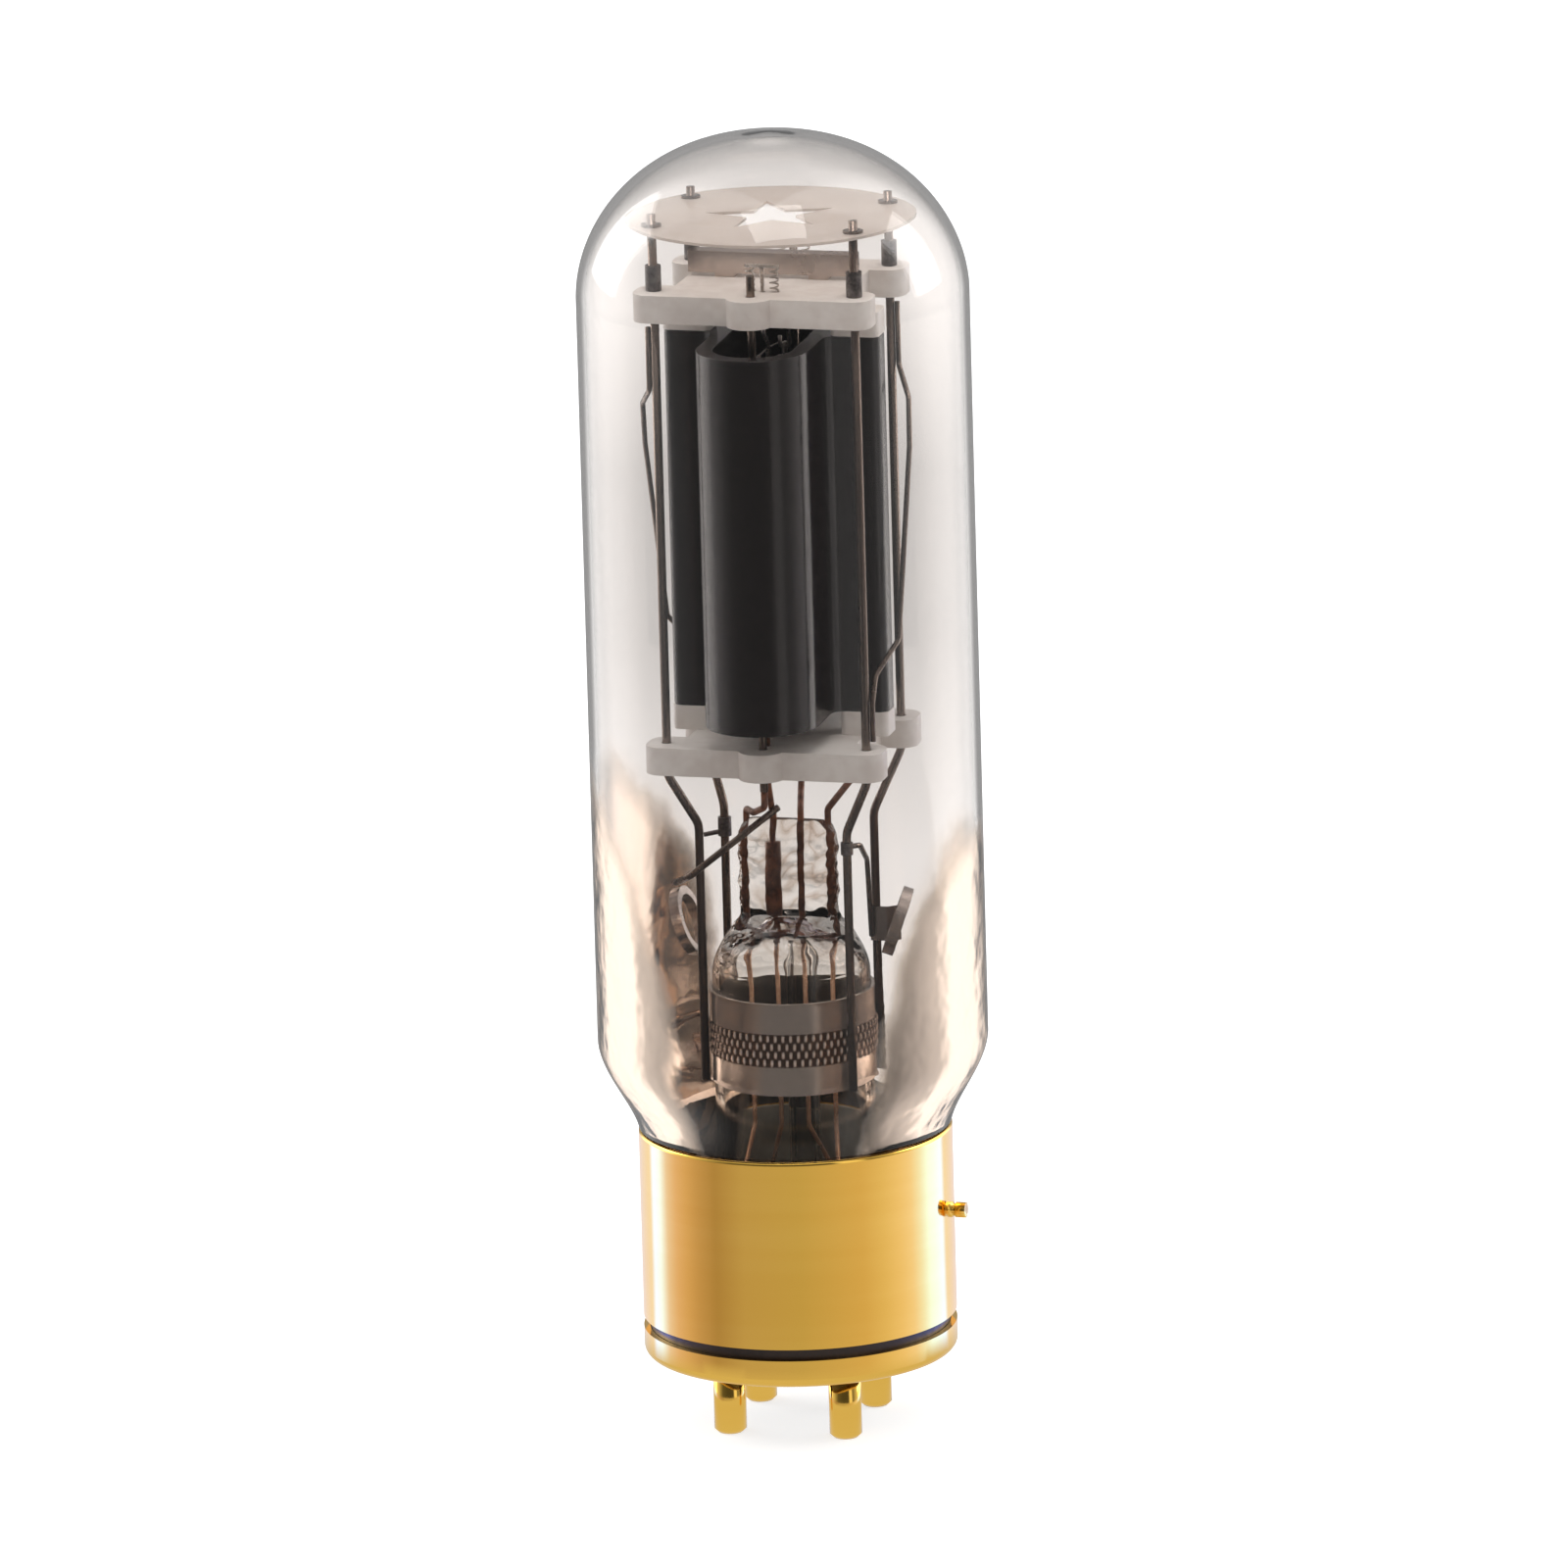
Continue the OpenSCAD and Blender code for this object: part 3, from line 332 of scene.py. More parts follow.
@dataclass(frozen=True)
class Flash:
    """One flash of the getter on the bulb's inner wall.

    Args:
        azimuth: angle of its centre round the bulb, in degrees.
        height: height of its centre, in metres.
        half_angle: its half width round the wall, in degrees.
        half_height: its half height, in metres.
    """

    azimuth: float
    height: float
    half_angle: float
    half_height: float

    def depth(self, tree: Tree, place: Socket, wisp: Socket) -> Socket:
        """Returns how thick the film is: 1 in the middle, ragged, 0 outside the flash.

        The distance is the root of the squares of the angle over the half angle and of the height
        over the half height, with noise added.
        """
        turned = tree.add(
            "VectorRotate", {"Vector": place, "Angle": -math.radians(self.azimuth)}, rotation_type="Z_AXIS"
        ).outputs[0]
        parts = tree.add("SeparateXYZ", {"Vector": turned}).outputs
        angle = tree.math("ARCTAN2", parts["Y"], parts["X"])
        across = tree.math("DIVIDE", angle, math.radians(self.half_angle))
        up = tree.math("DIVIDE", tree.math("SUBTRACT", parts["Z"], self.height), self.half_height)
        squares = tree.plus(tree.times(across, across), tree.times(up, up))
        ragged = tree.plus(tree.math("SQRT", squares), tree.fit(wisp, 0.0, 1.0, -0.1, 0.1))
        return tree.soft_fit(ragged, 1.05, 0.78)


@dataclass(frozen=True)
class GetterFilm:
    """The bulb's inner wall: clear glass with the getter's mirror and its smoke.

    Args:
        slot: the record's material slot.
        glass: the bare glass.
        flashes: where the mirrors lie.
        smoke: tint of the film's thin border.
        mirror: tint of its thick middle.
        wrinkle: depth of its wrinkles, in metres.
    """

    slot: str
    glass: Glass
    flashes: tuple[Flash, ...]
    smoke: Color = (0.8, 0.7, 0.6)
    mirror: Color = (0.92, 0.79, 0.68)
    wrinkle: float = 0.15 * MM

    def material(self) -> bpy.types.Material:
        """Returns the inner wall as a material, made once."""
        name = self.slot + "_inner"
        if name in bpy.data.materials:
            return bpy.data.materials[name]
        made = bpy.data.materials.new(name)
        tree = Tree(made)
        place = tree.add("TexCoord").outputs["Object"]
        wisp = tree.noise(place, 90.0, 4.0)
        film: Socket | None = None
        for flash in self.flashes:
            one = flash.depth(tree, place, wisp)
            film = one if film is None else tree.larger(film, one)
        metal = tree.fit(film, 0.2, 0.9)
        tint = tree.ramp(film, [(0.0, WHITE), (0.4, self.smoke), (1.0, self.mirror)])
        crease = tree.times(tree.noise(place, 160.0, 2.0), film)
        inputs = {
            "Base Color": tree.tinted(self.glass.tint(tree), tint),
            "Metallic": metal,
            "Roughness": tree.fit(film, 0.0, 1.0, 0.0, 0.05),
            "IOR": GLASS_IOR,
            "Transmission Weight": tree.math("SUBTRACT", 1.0, metal, clamp=True),
            "Normal": tree.add("Bump", {"Height": crease, "Distance": self.wrinkle}).outputs[0],
        }
        tree.principled(inputs)
        return made


GOLD = Finish(
    "gold_plate", (0.96, 0.6, 0.12), (0.93, 0.56, 0.1), 1.0, (0.08, 0.12), Pattern.TURNED, 60.0, 0.0
)
WAFER = Finish("base_insulator", (0.03, 0.014, 0.01), (0.018, 0.009, 0.007), 0.0, (0.35, 0.5), scale=120.0)
CEMENT = Finish(
    "base_cement", (0.74, 0.69, 0.58), (0.62, 0.56, 0.46), 0.0, (0.8, 0.95), Pattern.SPECK, 200.0, 0.1 * MM
)
COPPER = Finish("copper_lead", (0.8, 0.52, 0.36), (0.6, 0.36, 0.24), 1.0, (0.25, 0.4), scale=300.0)
SEAL = Finish("seal_wire", (0.3, 0.12, 0.06), (0.12, 0.055, 0.035), 0.2, (0.3, 0.5), scale=400.0)
# Through its tone attribute, the band gets painted highlights on its dot tips and painted shade between the
# dots.
BAND = Finish(
    "nickel_band", (0.62, 0.54, 0.48), (0.54, 0.47, 0.42), 0.8, (0.2, 0.26), scale=90.0, relief=0.0,
    tone="dot_light",
)
CERAMIC = Finish(
    "plate_ceramic", (0.84, 0.8, 0.76), (0.74, 0.68, 0.64), 0.0, (0.5, 0.65), Pattern.SPECK, 110.0, 0.04 * MM
)
GRAPHITE = Finish(
    "graphite", (0.009, 0.007, 0.007), (0.007, 0.005, 0.005), 0.0, (0.2, 0.22), Pattern.STREAK, 60.0, 0.0,
    ior=1.65,
)
FINE_WIRE = Finish("fine_wire", (0.62, 0.58, 0.54), (0.42, 0.38, 0.35), 1.0, (0.25, 0.4), scale=500.0)
DARK = Finish("dark_metal", (0.17, 0.15, 0.14), (0.07, 0.06, 0.058), 0.9, (0.4, 0.6), scale=350.0)
SHEET = Finish(
    "nickel_sheet", (0.56, 0.48, 0.43), (0.46, 0.39, 0.35), 1.0, (0.2, 0.28), scale=90.0, relief=0.0
)
ROD = Finish(
    "nickel_rod", (0.25, 0.2, 0.17), (0.13, 0.1, 0.085), 1.0, (0.2, 0.32), Pattern.STREAK, 260.0, 0.0
)
BULB_GLASS = Glass("bulb_glass", (0.92, 0.89, 0.87), (0.05, 0.05, 0.05))
# The stem glass paints dark shade lines along its ripples in the press.
STEM_GLASS = Glass("stem_glass", (0.95, 0.93, 0.9), (0.05, 0.045, 0.04), 1.4 * MM, 170.0, (0.5, 0.4, 0.33))
MICA = Finish("mica", (0.74, 0.66, 0.6), (0.66, 0.58, 0.52), 0.0, (0.12, 0.2), relief=0.0, clear=0.35)
LEFT_FLASH = Flash(188.0, 55.0 * MM, 63.0, 48.0 * MM)
RIGHT_FLASH = Flash(9.0, 51.0 * MM, 63.0, 43.0 * MM)
GETTER_FILM = GetterFilm("bulb_glass", BULB_GLASS, (LEFT_FLASH, RIGHT_FLASH))


# ------------------------ surfaces


def grid_faces(rows: int, columns: int, ring: bool) -> np.ndarray:
    """Returns the quads of a grid of points.

    Args:
        rows: number of rows, each of them closed round its columns.
        columns: points in a row.
        ring: whether the last row joins the first.
    """
    row, column = np.meshgrid(np.arange(rows if ring else rows - 1), np.arange(columns), indexing="ij")
    up, over = (row + 1) % rows, (column + 1) % columns
    quads = [row * columns + column, row * columns + over, up * columns + over, up * columns + column]
    return np.stack([q.ravel() for q in quads], axis=1)


def turn(steps: int) -> np.ndarray:
    """Returns equal angles once round, from 0, without the last one."""
    return np.linspace(0.0, 2 * math.pi, steps, endpoint=False)


def revolved(profile: np.ndarray, steps: int) -> np.ndarray:
    """Returns a profile turned round the z axis: each (r, z) at each angle gives (r cos, r sin, z).

    Args:
        profile: an (n, 2) array of radius and height.
        steps: points round the axis.

    Returns:
        An (n, steps, 3) array.
    """
    angle = turn(steps)
    radius, height = profile[:, :1], profile[:, 1:]
    level = np.broadcast_to(height, (len(profile), steps))
    return np.stack([radius * np.cos(angle), radius * np.sin(angle), level], axis=2)


def ease(t: np.ndarray | float) -> np.ndarray | float:
    """Returns the S-curve t squared times (3 - 2 t)."""
    return t * t * (3 - 2 * t)


def mesh_of(name: str, points: np.ndarray, faces: np.ndarray) -> bpy.types.Mesh:
    """Makes a mesh from arrays, merges the points at its poles, and turns its faces outwards.

    Args:
        name: the mesh's name.
        points: an array whose last axis is x, y, z.
        faces: an (m, 4) array of point numbers.

    Returns:
        The mesh.
    """
    mesh = bpy.data.meshes.new(name)
    mesh.from_pydata(points.reshape(-1, 3).tolist(), [], faces.tolist())
    work = bmesh.new()
    work.from_mesh(mesh)
    bmesh.ops.remove_doubles(work, verts=work.verts, dist=1e-7)
    bmesh.ops.dissolve_degenerate(work, edges=work.edges, dist=1e-8)
    bmesh.ops.delete(work, geom=[edge for edge in work.edges if not edge.link_faces], context="EDGES")
    bmesh.ops.recalc_face_normals(work, faces=work.faces)
    work.to_mesh(mesh)
    work.free()
    return mesh


def smoothed(mesh: bpy.types.Mesh, angle: float) -> bpy.types.Mesh:
    """Shades a mesh smooth, except over edges that turn by more than an angle in degrees."""
    mesh.shade_smooth()
    mesh.set_sharp_from_angle(angle=math.radians(angle))
    return mesh


class Piece:
    """Puts finished meshes into the scene in place of their CAD nodes."""

    merge_distance = 1e-6
    flat_angle = math.radians(1.0)
    bevel_angle = math.radians(40.0)
    bevel_steps = 2

    @staticmethod
    def show(mesh: bpy.types.Mesh, node: str, finish: Finish | Glass) -> bpy.types.Object:
        """Links a mesh as a piece that stands for a CAD node.

        Args:
            mesh: the finished mesh, in place.
            node: the CAD node it replaces.
            finish: what it is made of.

        Returns:
            The piece.
        """
        piece = bpy.data.objects.new(node + "_dressed", mesh)
        bpy.context.scene.collection.objects.link(piece)
        mesh.materials.clear()
        mesh.materials.append(finish.material())
        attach(piece, BODY)
        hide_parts(node)
        log.info("%s: %d faces", piece.name, len(mesh.polygons))
        return piece

    @staticmethod
    def copy(node: str, finish: Finish | Glass, edge: float = 0.0, angle: float = 32.0) -> bpy.types.Object:
        """Dresses a merged copy of a CAD node, with its edges rounded if asked.

        Args:
            node: the CAD node.
            finish: what it is made of.
            edge: width of the rounding, in metres.
            angle: edges that turn by more than this stay sharp, in degrees.

        Returns:
            The piece.
        """
        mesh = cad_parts[node].data.copy()
        mesh.name = node + "_dressed"
        work = bmesh.new()
        work.from_mesh(mesh)
        bmesh.ops.remove_doubles(work, verts=work.verts, dist=Piece.merge_distance)
        if edge:
            bmesh.ops.dissolve_limit(work, angle_limit=Piece.flat_angle, verts=work.verts, edges=work.edges)
        work.to_mesh(mesh)
        work.free()
        piece = Piece.show(smoothed(mesh, angle), node, finish)
        if edge:
            bevel = piece.modifiers.new("edge", "BEVEL")
            bevel.width, bevel.segments = edge, Piece.bevel_steps
            bevel.limit_method, bevel.angle_limit = "ANGLE", Piece.bevel_angle
            bevel.harden_normals = True
        return piece


# ------------------------ the tube


@dataclass
class Bulb:
    """The blown glass bulb, one closed wall from the neck over the shoulder to the dome."""

    wall: float = 1.2 * MM
    neck_radius: float = 21.5 * MM
    neck_bottom: float = 24.0 * MM
    shell_top: float = 44.9 * MM
    sill_radius: float = 22.95 * MM
    sill_z: float = 45.3 * MM
    side_z: float = 58.5 * MM
    dome_z: float = 169.5 * MM
    crown: float = 0.4 * MM
    crown_radius: float = 2.2 * MM
    plan_power: float = 2.2
    rise_power: float = 1.9
    shoulder_start: float = 0.12
    steps: int = 160
    radius: float = field(init=False)
    top: float = field(init=False)

    def __post_init__(self) -> None:
        """Takes the bulb's radius and top from the frame."""
        low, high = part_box("glass_envelope")
        self.radius = (high.x - low.x) / 2
        self.top = high.z

    def shoulder(self, inset: float) -> np.ndarray:
        """Returns the shoulder's profile: an S-curve from the sill's radius to the bulb's."""
        t = np.linspace(0.0, 1.0, 30)
        rise = self.radius - self.sill_radius
        start = self.shoulder_start
        r = self.sill_radius + rise * ease(start + (1 - start) * t) - rise * ease(start) * (1 - t) - inset
        return np.stack([r, self.sill_z + (self.side_z - self.sill_z) * t], axis=1)

    def dome(self, inset: float) -> np.ndarray:
        """Returns the dome's profile: a superellipse with a small round crown on top."""
        a = np.linspace(0.0, math.pi / 2, 60)
        across, up = np.clip(np.cos(a), 0.0, 1.0), np.sin(a)
        r = (self.radius - inset) * across ** (2 / self.plan_power)
        height = self.top - self.crown - self.dome_z - inset
        crown = self.crown * np.exp(-(((self.radius - inset) * across / self.crown_radius) ** 2))
        return np.stack([r, self.dome_z + height * up ** (2 / self.rise_power) + crown], axis=1)

    def side(self, inset: float) -> np.ndarray:
        """Returns the profile from the neck's end to the crown, moved in by an inset."""
        radius = self.neck_radius - inset
        neck = np.array([[radius, self.neck_bottom], [radius, self.shell_top]])
        return np.concatenate([neck, self.shoulder(inset), self.dome(inset)])

    def build(self) -> None:
        """Builds the bulb, with the getter's film on its inner wall."""
        profile = np.concatenate([self.side(0.0)[::-1], self.side(self.wall)])
        mesh = mesh_of("bulb", revolved(profile, self.steps), grid_faces(len(profile), self.steps, False))
        piece = Piece.show(smoothed(mesh, 40.0), "glass_envelope", BULB_GLASS)
        mesh.materials.append(GETTER_FILM.material())
        centres = np.zeros(len(mesh.polygons) * 3)
        normals = np.zeros(len(mesh.polygons) * 3)
        mesh.polygons.foreach_get("center", centres)
        mesh.polygons.foreach_get("normal", normals)
        centres, normals = centres.reshape(-1, 3), normals.reshape(-1, 3)
        inside = (centres[:, :2] * normals[:, :2]).sum(1) < -1e-6
        mesh.polygons.foreach_set("material_index", inside.astype(np.int32))
        piece.visible_shadow = False


class Lump(NamedTuple):
    """One wave of the pinched press: a sine of the height in mm and the angle."""

    depth: float
    per_mm: float
    lobes: float
    phase: float = 0.0


LUMPS = (Lump(1.0, 1.1, 2.0), Lump(0.8, 1.9, -5.0, 1.0), Lump(0.6, 3.1, 9.0, 2.0), Lump(0.4, 4.3, -14.0))


@dataclass
class Stem:
    """The stem's glass with its pinched press, and the embossed band round it."""

    neck_radius: float = 20.2 * MM
    wall: float = 1.2 * MM
    flare_z: float = 24.0 * MM
    flare_height: float = 20.0 * MM
    tube_radius: float = 11.6 * MM
    tube_top: float = 67.6 * MM
    press_half_w: float = 7.3 * MM
    press_half_t: float = 2.5 * MM
    press_root: float = 74.6 * MM
    shoulder_rise: float = 9.5 * MM
    exhaust_radius: float = 2.4 * MM
    exhaust_bore: float = 1.4 * MM
    exhaust_y: float = 5.6 * MM
    exhaust_z: float = 28.0 * MM
    exhaust_top: float = 74.2 * MM
    lip_start: float = 0.1 * MM
    lip_end: float = 1.3 * MM
    lump_share: float = 0.016
    lump_lead: float = 3.0 * MM
    lump_rise: float = 5.0 * MM
    lump_edge: float = 1.5 * MM
    dot_rows: int = 4
    dots_round: int = 68
    dot_pitch: float = 1.22 * MM
    first_dot: float = 4.3 * MM
    dot_depth: float = 0.26 * MM
    dot_power: float = 0.8
    band_wall: float = 0.65 * MM
    band_lip: float = 0.12 * MM
    band_lip_width: float = 0.35 * MM
    # Painted light level of the band's plain metal, where nothing is painted lighter or darker.
    plain_dot_light: float = 0.5
    steps: int = 128
    press_top: float = field(init=False)

    def __post_init__(self) -> None:
        """Takes the height of the press from the frame."""
        self.press_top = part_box("stem_glass")[1].z

    def outline(self, half_w: np.ndarray, half_t: np.ndarray, z: np.ndarray) -> np.ndarray:
        """Returns rings whose plan is a superellipse, from half widths along x and y at each height.

        The power runs from 2, a circle, to 4, a stadium, as the ring gets flatter.
        """
        angle = turn(self.steps)
        power = 2.0 + 2.0 * np.clip(1 - half_t / np.maximum(half_w, 1e-9), 0.0, 1.0)[:, None]
        c, s = np.cos(angle), np.sin(angle)
        x = half_w[:, None] * np.sign(c) * np.abs(c) ** (2 / power)
        y = half_t[:, None] * np.sign(s) * np.abs(s) ** (2 / power)
        return np.stack([x, y, np.broadcast_to(z[:, None], x.shape)], axis=2)

    def rippled(self, rings: np.ndarray) -> np.ndarray:
        """Returns the rings with the lumps that the pinch left in the press.

        The plan is scaled by 1 plus a sum of sines of height and angle, which fades in up the shoulder
        and out again at the top edge.
        """
        angle = turn(self.steps)[None, :]
        z = rings[:, :1, 2]
        waves = sum(
            lump.depth * np.sin(lump.per_mm * z / MM + lump.lobes * angle + lump.phase) for lump in LUMPS
        )
        grown = ease(np.clip((z - self.press_root + self.lump_lead) / self.lump_rise, 0.0, 1.0))
        faded = ease(np.clip((self.press_top - z) / self.lump_edge, 0.0, 1.0))
        swell = 1.0 + self.lump_share * waves * grown * faded
        return rings * np.stack([swell, swell, np.ones_like(swell)], axis=2)

    def glass(self) -> bpy.types.Object:
        """Builds the glass: flare, tube, a domed shoulder that runs into the press, and the hollow inside.

        The shoulder is an ellipse in height; the press comes out of it where its own half width is
        larger, rounded by a sixth-power mean of the two.
        """
        t = np.linspace(0.0, 1.0, 16)
        flare_r = self.tube_radius + (self.neck_radius - self.tube_radius) * (1 - t) ** 2.2
        flare_z = self.flare_z + self.flare_height * t
        rise = self.shoulder_rise * np.sin(np.linspace(0.0, math.pi / 2, 24))
        cap_start = self.press_top - self.press_half_t
        straight = np.linspace(self.tube_top + rise[-1], cap_start, 40)[1:]
        up_z = np.concatenate([self.tube_top + rise, straight])
        share = (up_z - self.tube_top) / self.shoulder_rise
        dome = self.tube_radius * np.sqrt(np.clip(1 - share**2, 0.0, 1.0))
        grown = ease(np.clip((up_z - self.tube_top) / (6 * MM), 0.0, 1.0))
        up_w = (dome**6 + (self.press_half_w * grown) ** 6) ** (1 / 6)
        up_t = (dome**6 + (self.press_half_t * grown) ** 6) ** (1 / 6)
        v = np.linspace(0.0, math.pi / 2, 12)[1:]
        cap_t = self.press_half_t * np.cos(v)
        cap_w = self.press_half_w - self.press_half_t + cap_t
        cap_z = cap_start + self.press_half_t * np.sin(v)
        lip = self.neck_radius + np.array([self.lip_start, self.lip_end, self.lip_end])
        lip_z = self.flare_z - np.array([self.wall, self.wall, 0.0])
        outer = self.outline(
            np.concatenate([lip, flare_r, up_w, cap_w]),
            np.concatenate([lip, flare_r, up_t, cap_t]),
            np.concatenate([lip_z, flare_z, up_z, cap_z]),
        )
        in_r = np.append(flare_r[1:], self.tube_radius) - self.wall
        in_z = np.append(flare_z[1:], self.tube_top)
        u = np.linspace(0.0, math.pi / 2, 20)[1:]
        in_rise = self.press_root - self.tube_top
        vault = np.stack([in_r[-1] * np.cos(u), in_z[-1] + in_rise * np.sin(u)], axis=1)
        inner = revolved(np.concatenate([np.stack([in_r, in_z], axis=1), vault]), self.steps)
        rows = np.concatenate([self.rippled(outer)[::-1], inner])
        exhaust = self.exhaust()
        faces = grid_faces(len(rows), self.steps, False)
        more = grid_faces(len(exhaust), self.steps, False) + len(rows) * self.steps
        points = np.concatenate([rows.reshape(-1, 3), exhaust.reshape(-1, 3)])
        mesh = mesh_of("stem", points, np.concatenate([faces, more]))
        piece = Piece.show(smoothed(mesh, 60.0), "stem_glass", STEM_GLASS)
        piece.visible_shadow = False
        return piece

    def exhaust(self) -> np.ndarray:
        """Returns the rings of the exhaust tube, a round-tipped tube with a plain bore, off the axis."""
        a = np.linspace(0.0, math.pi / 2, 10)
        tip = self.exhaust_radius * np.stack([np.sin(a), -np.cos(a)], axis=1) + [0.0, self.exhaust_z]
        top = [[self.exhaust_radius, self.exhaust_top], [self.exhaust_bore, self.exhaust_top]]
        bottom = [[self.exhaust_bore, self.exhaust_z], [0.0, self.exhaust_z]]
        profile = np.concatenate([tip, top, bottom])
        return revolved(profile, self.steps) + [0.0, self.exhaust_y, 0.0]

    def band(self) -> bpy.types.Object:
        """Builds the band: a thin wall whose middle is pressed out in rows of round dots.

        A dot is a cosine hump in the angle times one in the height, kept where both are positive.
        """
        low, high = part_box("stem_collar")
        radius, height = (high.x - low.x) / 2, high.z - low.z
        columns = self.dots_round * 8
        z = np.linspace(0.0, height, 96)
        angle = turn(columns)
        phase = (z[:, None] - self.first_dot) / self.dot_pitch
        in_rows = (phase > 0) & (phase < self.dot_rows)
        stagger = np.floor(phase) % 2 * math.pi
        up = np.clip(np.sin(math.pi * (phase % 1.0)), 0, 1)
        hump = up * np.clip(np.cos(self.dots_round * angle + stagger), 0, 1)
        from_edge = np.minimum(z, height - z)[:, None]
        lip = np.exp(-((from_edge / self.band_lip_width) ** 2)) * self.band_lip
        front = radius - self.dot_depth + np.where(in_rows, hump**self.dot_power, 0.0) * self.dot_depth + lip
        back = np.full((2, columns), radius - self.band_wall)
        r = np.concatenate([front, back])
        level = np.concatenate([z[:, None] + low.z, [[high.z], [low.z]]])
        rows = np.stack([r * np.cos(angle), r * np.sin(angle), np.broadcast_to(level, r.shape)], axis=2)
        mesh = mesh_of("band", rows, grid_faces(len(rows), columns, True))
        # Painted light per point: a painted highlight on the dot tips, painted shade between the dots, and
        # the plain level elsewhere.
        dot_light = np.full(rows.shape[:2], self.plain_dot_light)
        dot_light[: len(z)] = np.where(in_rows, np.clip(1.5 * hump, 0.0, 1.0), self.plain_dot_light)
        mesh.attributes.new("dot_light", "FLOAT", "POINT").data.foreach_set("value", dot_light.ravel())
        return Piece.show(smoothed(mesh, 50.0), "stem_collar", BAND)

    def build(self) -> None:
        """Builds the glass and its band, and dresses the leads in and under it."""
        self.glass()
        self.band()
        for node in ("grid_lead", "filament_lead_front", "filament_lead_rear", "anode_lead"):
            Piece.copy(node, SEAL, angle=50.0)
        for number in range(1, 5):
            Piece.copy(f"pin_lead_{number}", COPPER, angle=50.0)


@dataclass
class Base:
    """The plated base: shell, ring, wafer, cement, contact pins and bayonet pin."""

    steps: int = 192
    wall: float = 0.9 * MM
    loop: float = 0.03 * MM

    def shell(self) -> bpy.types.Object:
        """Builds the shell: a straight wall whose upper rim is rolled over."""
        low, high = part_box("base_shell")
        outer = (high.x - low.x) / 2
        half = self.wall / 2
        a = np.linspace(0.0, math.pi, 14)
        rim = np.stack([outer - half + half * np.cos(a), high.z - half + half * np.sin(a)], axis=1)
        start = high.z - half - self.loop
        straight = [[outer, low.z], [outer, low.z + self.loop], [outer, start]]
        back = [[outer - self.wall, start], [outer - self.wall, low.z]]
        profile = np.concatenate([straight, rim, back])
        mesh = mesh_of("shell", revolved(profile, self.steps), grid_faces(len(profile), self.steps, True))
        return Piece.show(smoothed(mesh, 50.0), "base_shell", GOLD)

    def build(self) -> None:
        """Builds the shell and dresses the other base pieces."""
        self.shell()
        Piece.copy("base_ring", GOLD)
        Piece.copy("base_wafer", WAFER, 0.15 * MM)
        Piece.copy("base_cement", CEMENT)
        Piece.copy("bayonet_pin", GOLD)
        for number in range(1, 5):
            Piece.copy(f"contact_pin_{number}", GOLD)


@dataclass
class Cage:
    """The rods, ceramic plates, mica and small metal parts that hold the electrodes."""

    plate_edge: float = 0.35 * MM
    sheet_edge: float = 0.06 * MM

    def build(self) -> None:
        """Dresses every piece of the cage."""
        for number in range(1, 5):
            Piece.copy(f"support_rod_{number}", ROD, angle=50.0)
            Piece.copy(f"rod_sleeve_{number}", DARK, 0.12 * MM)
        for node in ("lower_ceramic_plate", "upper_ceramic_plate"):
            Piece.copy(node, CERAMIC, self.plate_edge)
        disc = Piece.copy("mica_disc", MICA)
        disc.visible_shadow = False
        Piece.copy("mica_eyelets", ROD)
        Piece.copy("top_bracket", SHEET, self.sheet_edge)
        Piece.copy("rod_clamp_rear", DARK)
        Piece.copy("rod_clamp_front", DARK)


@dataclass
class Electrodes:
    """The anode, the grid, the filament and what holds them."""

    anode_edge: float = 0.3 * MM

    def build(self) -> None:
        """Dresses every electrode."""
        Piece.copy("anode", GRAPHITE, self.anode_edge)
        for side in ("left", "right"):
            Piece.copy(f"anode_tie_wire_{side}", ROD, angle=50.0)
        for end in ("front", "rear"):
            Piece.copy(f"grid_rod_{end}", ROD)
            Piece.copy(f"filament_hook_{end}", FINE_WIRE, angle=50.0)
        Piece.copy("grid_winding", FINE_WIRE, angle=60.0)
        Piece.copy("filament", FINE_WIRE, angle=60.0)
        Piece.copy("filament_post", ROD)
        for number in range(1, 5):
            Piece.copy(f"filament_spring_{number}", FINE_WIRE, angle=60.0)


@dataclass
class Getters:
    """The two getter rings on their arms."""

    def build(self) -> None:
        """Dresses the rings, their arms and the strap."""
        for side in ("left", "right"):
            Piece.copy(f"getter_ring_{side}", SHEET)
            Piece.copy(f"getter_arm_{side}", ROD, angle=50.0)
        Piece.copy("getter_strap_right", SHEET)


# ------------------------ the studio


@dataclass(frozen=True)
class Lamp:
    """A rectangular lamp: its place and size in metres, its power in watts, and whether mirrors show it."""

    name: str
    where: Point
    size: tuple[float, float]
    power: float
    mirrored: bool = True

    def build(self, target: Vector) -> None:
        """Adds the lamp, turned towards a target."""
        data = bpy.data.lights.new(self.name, "AREA")
        data.shape, data.energy = "RECTANGLE", self.power
        data.size, data.size_y = self.size
        lamp = bpy.data.objects.new(self.name, data)
        lamp.location = self.where
        lamp.rotation_euler = (target - lamp.location).to_track_quat("-Z", "Y").to_euler()
        lamp.visible_glossy = self.mirrored
        bpy.context.scene.collection.objects.link(lamp)


class Paths(NamedTuple):
    """Switches for the ray that looks, each 1 or 0 unless it says otherwise.

    Attributes:
        direct: it comes from the camera.
        through: it passed glass, and nothing mirrored or scattered it before.
        turned: something mirrored it, and nothing scattered it.
        brushed: what it met last is a mirror, and not a polished one.
        inner: a share, for a mirrored ray that passed glass and isn't brushed.
    """

    direct: Socket
    through: Socket
    turned: Socket
    brushed: Socket
    inner: Socket


LAMPS = (
    Lamp("left_softbox", (-0.95, 0.3, 0.5), (0.6, 0.7), 3.0),
    Lamp("right_softbox", (0.86, 0.5, 0.5), (0.5, 0.7), 2.4),
    Lamp("top_softbox", (0.1, -0.2, 1.2), (0.5, 0.5), 4.0, mirrored=False),
)
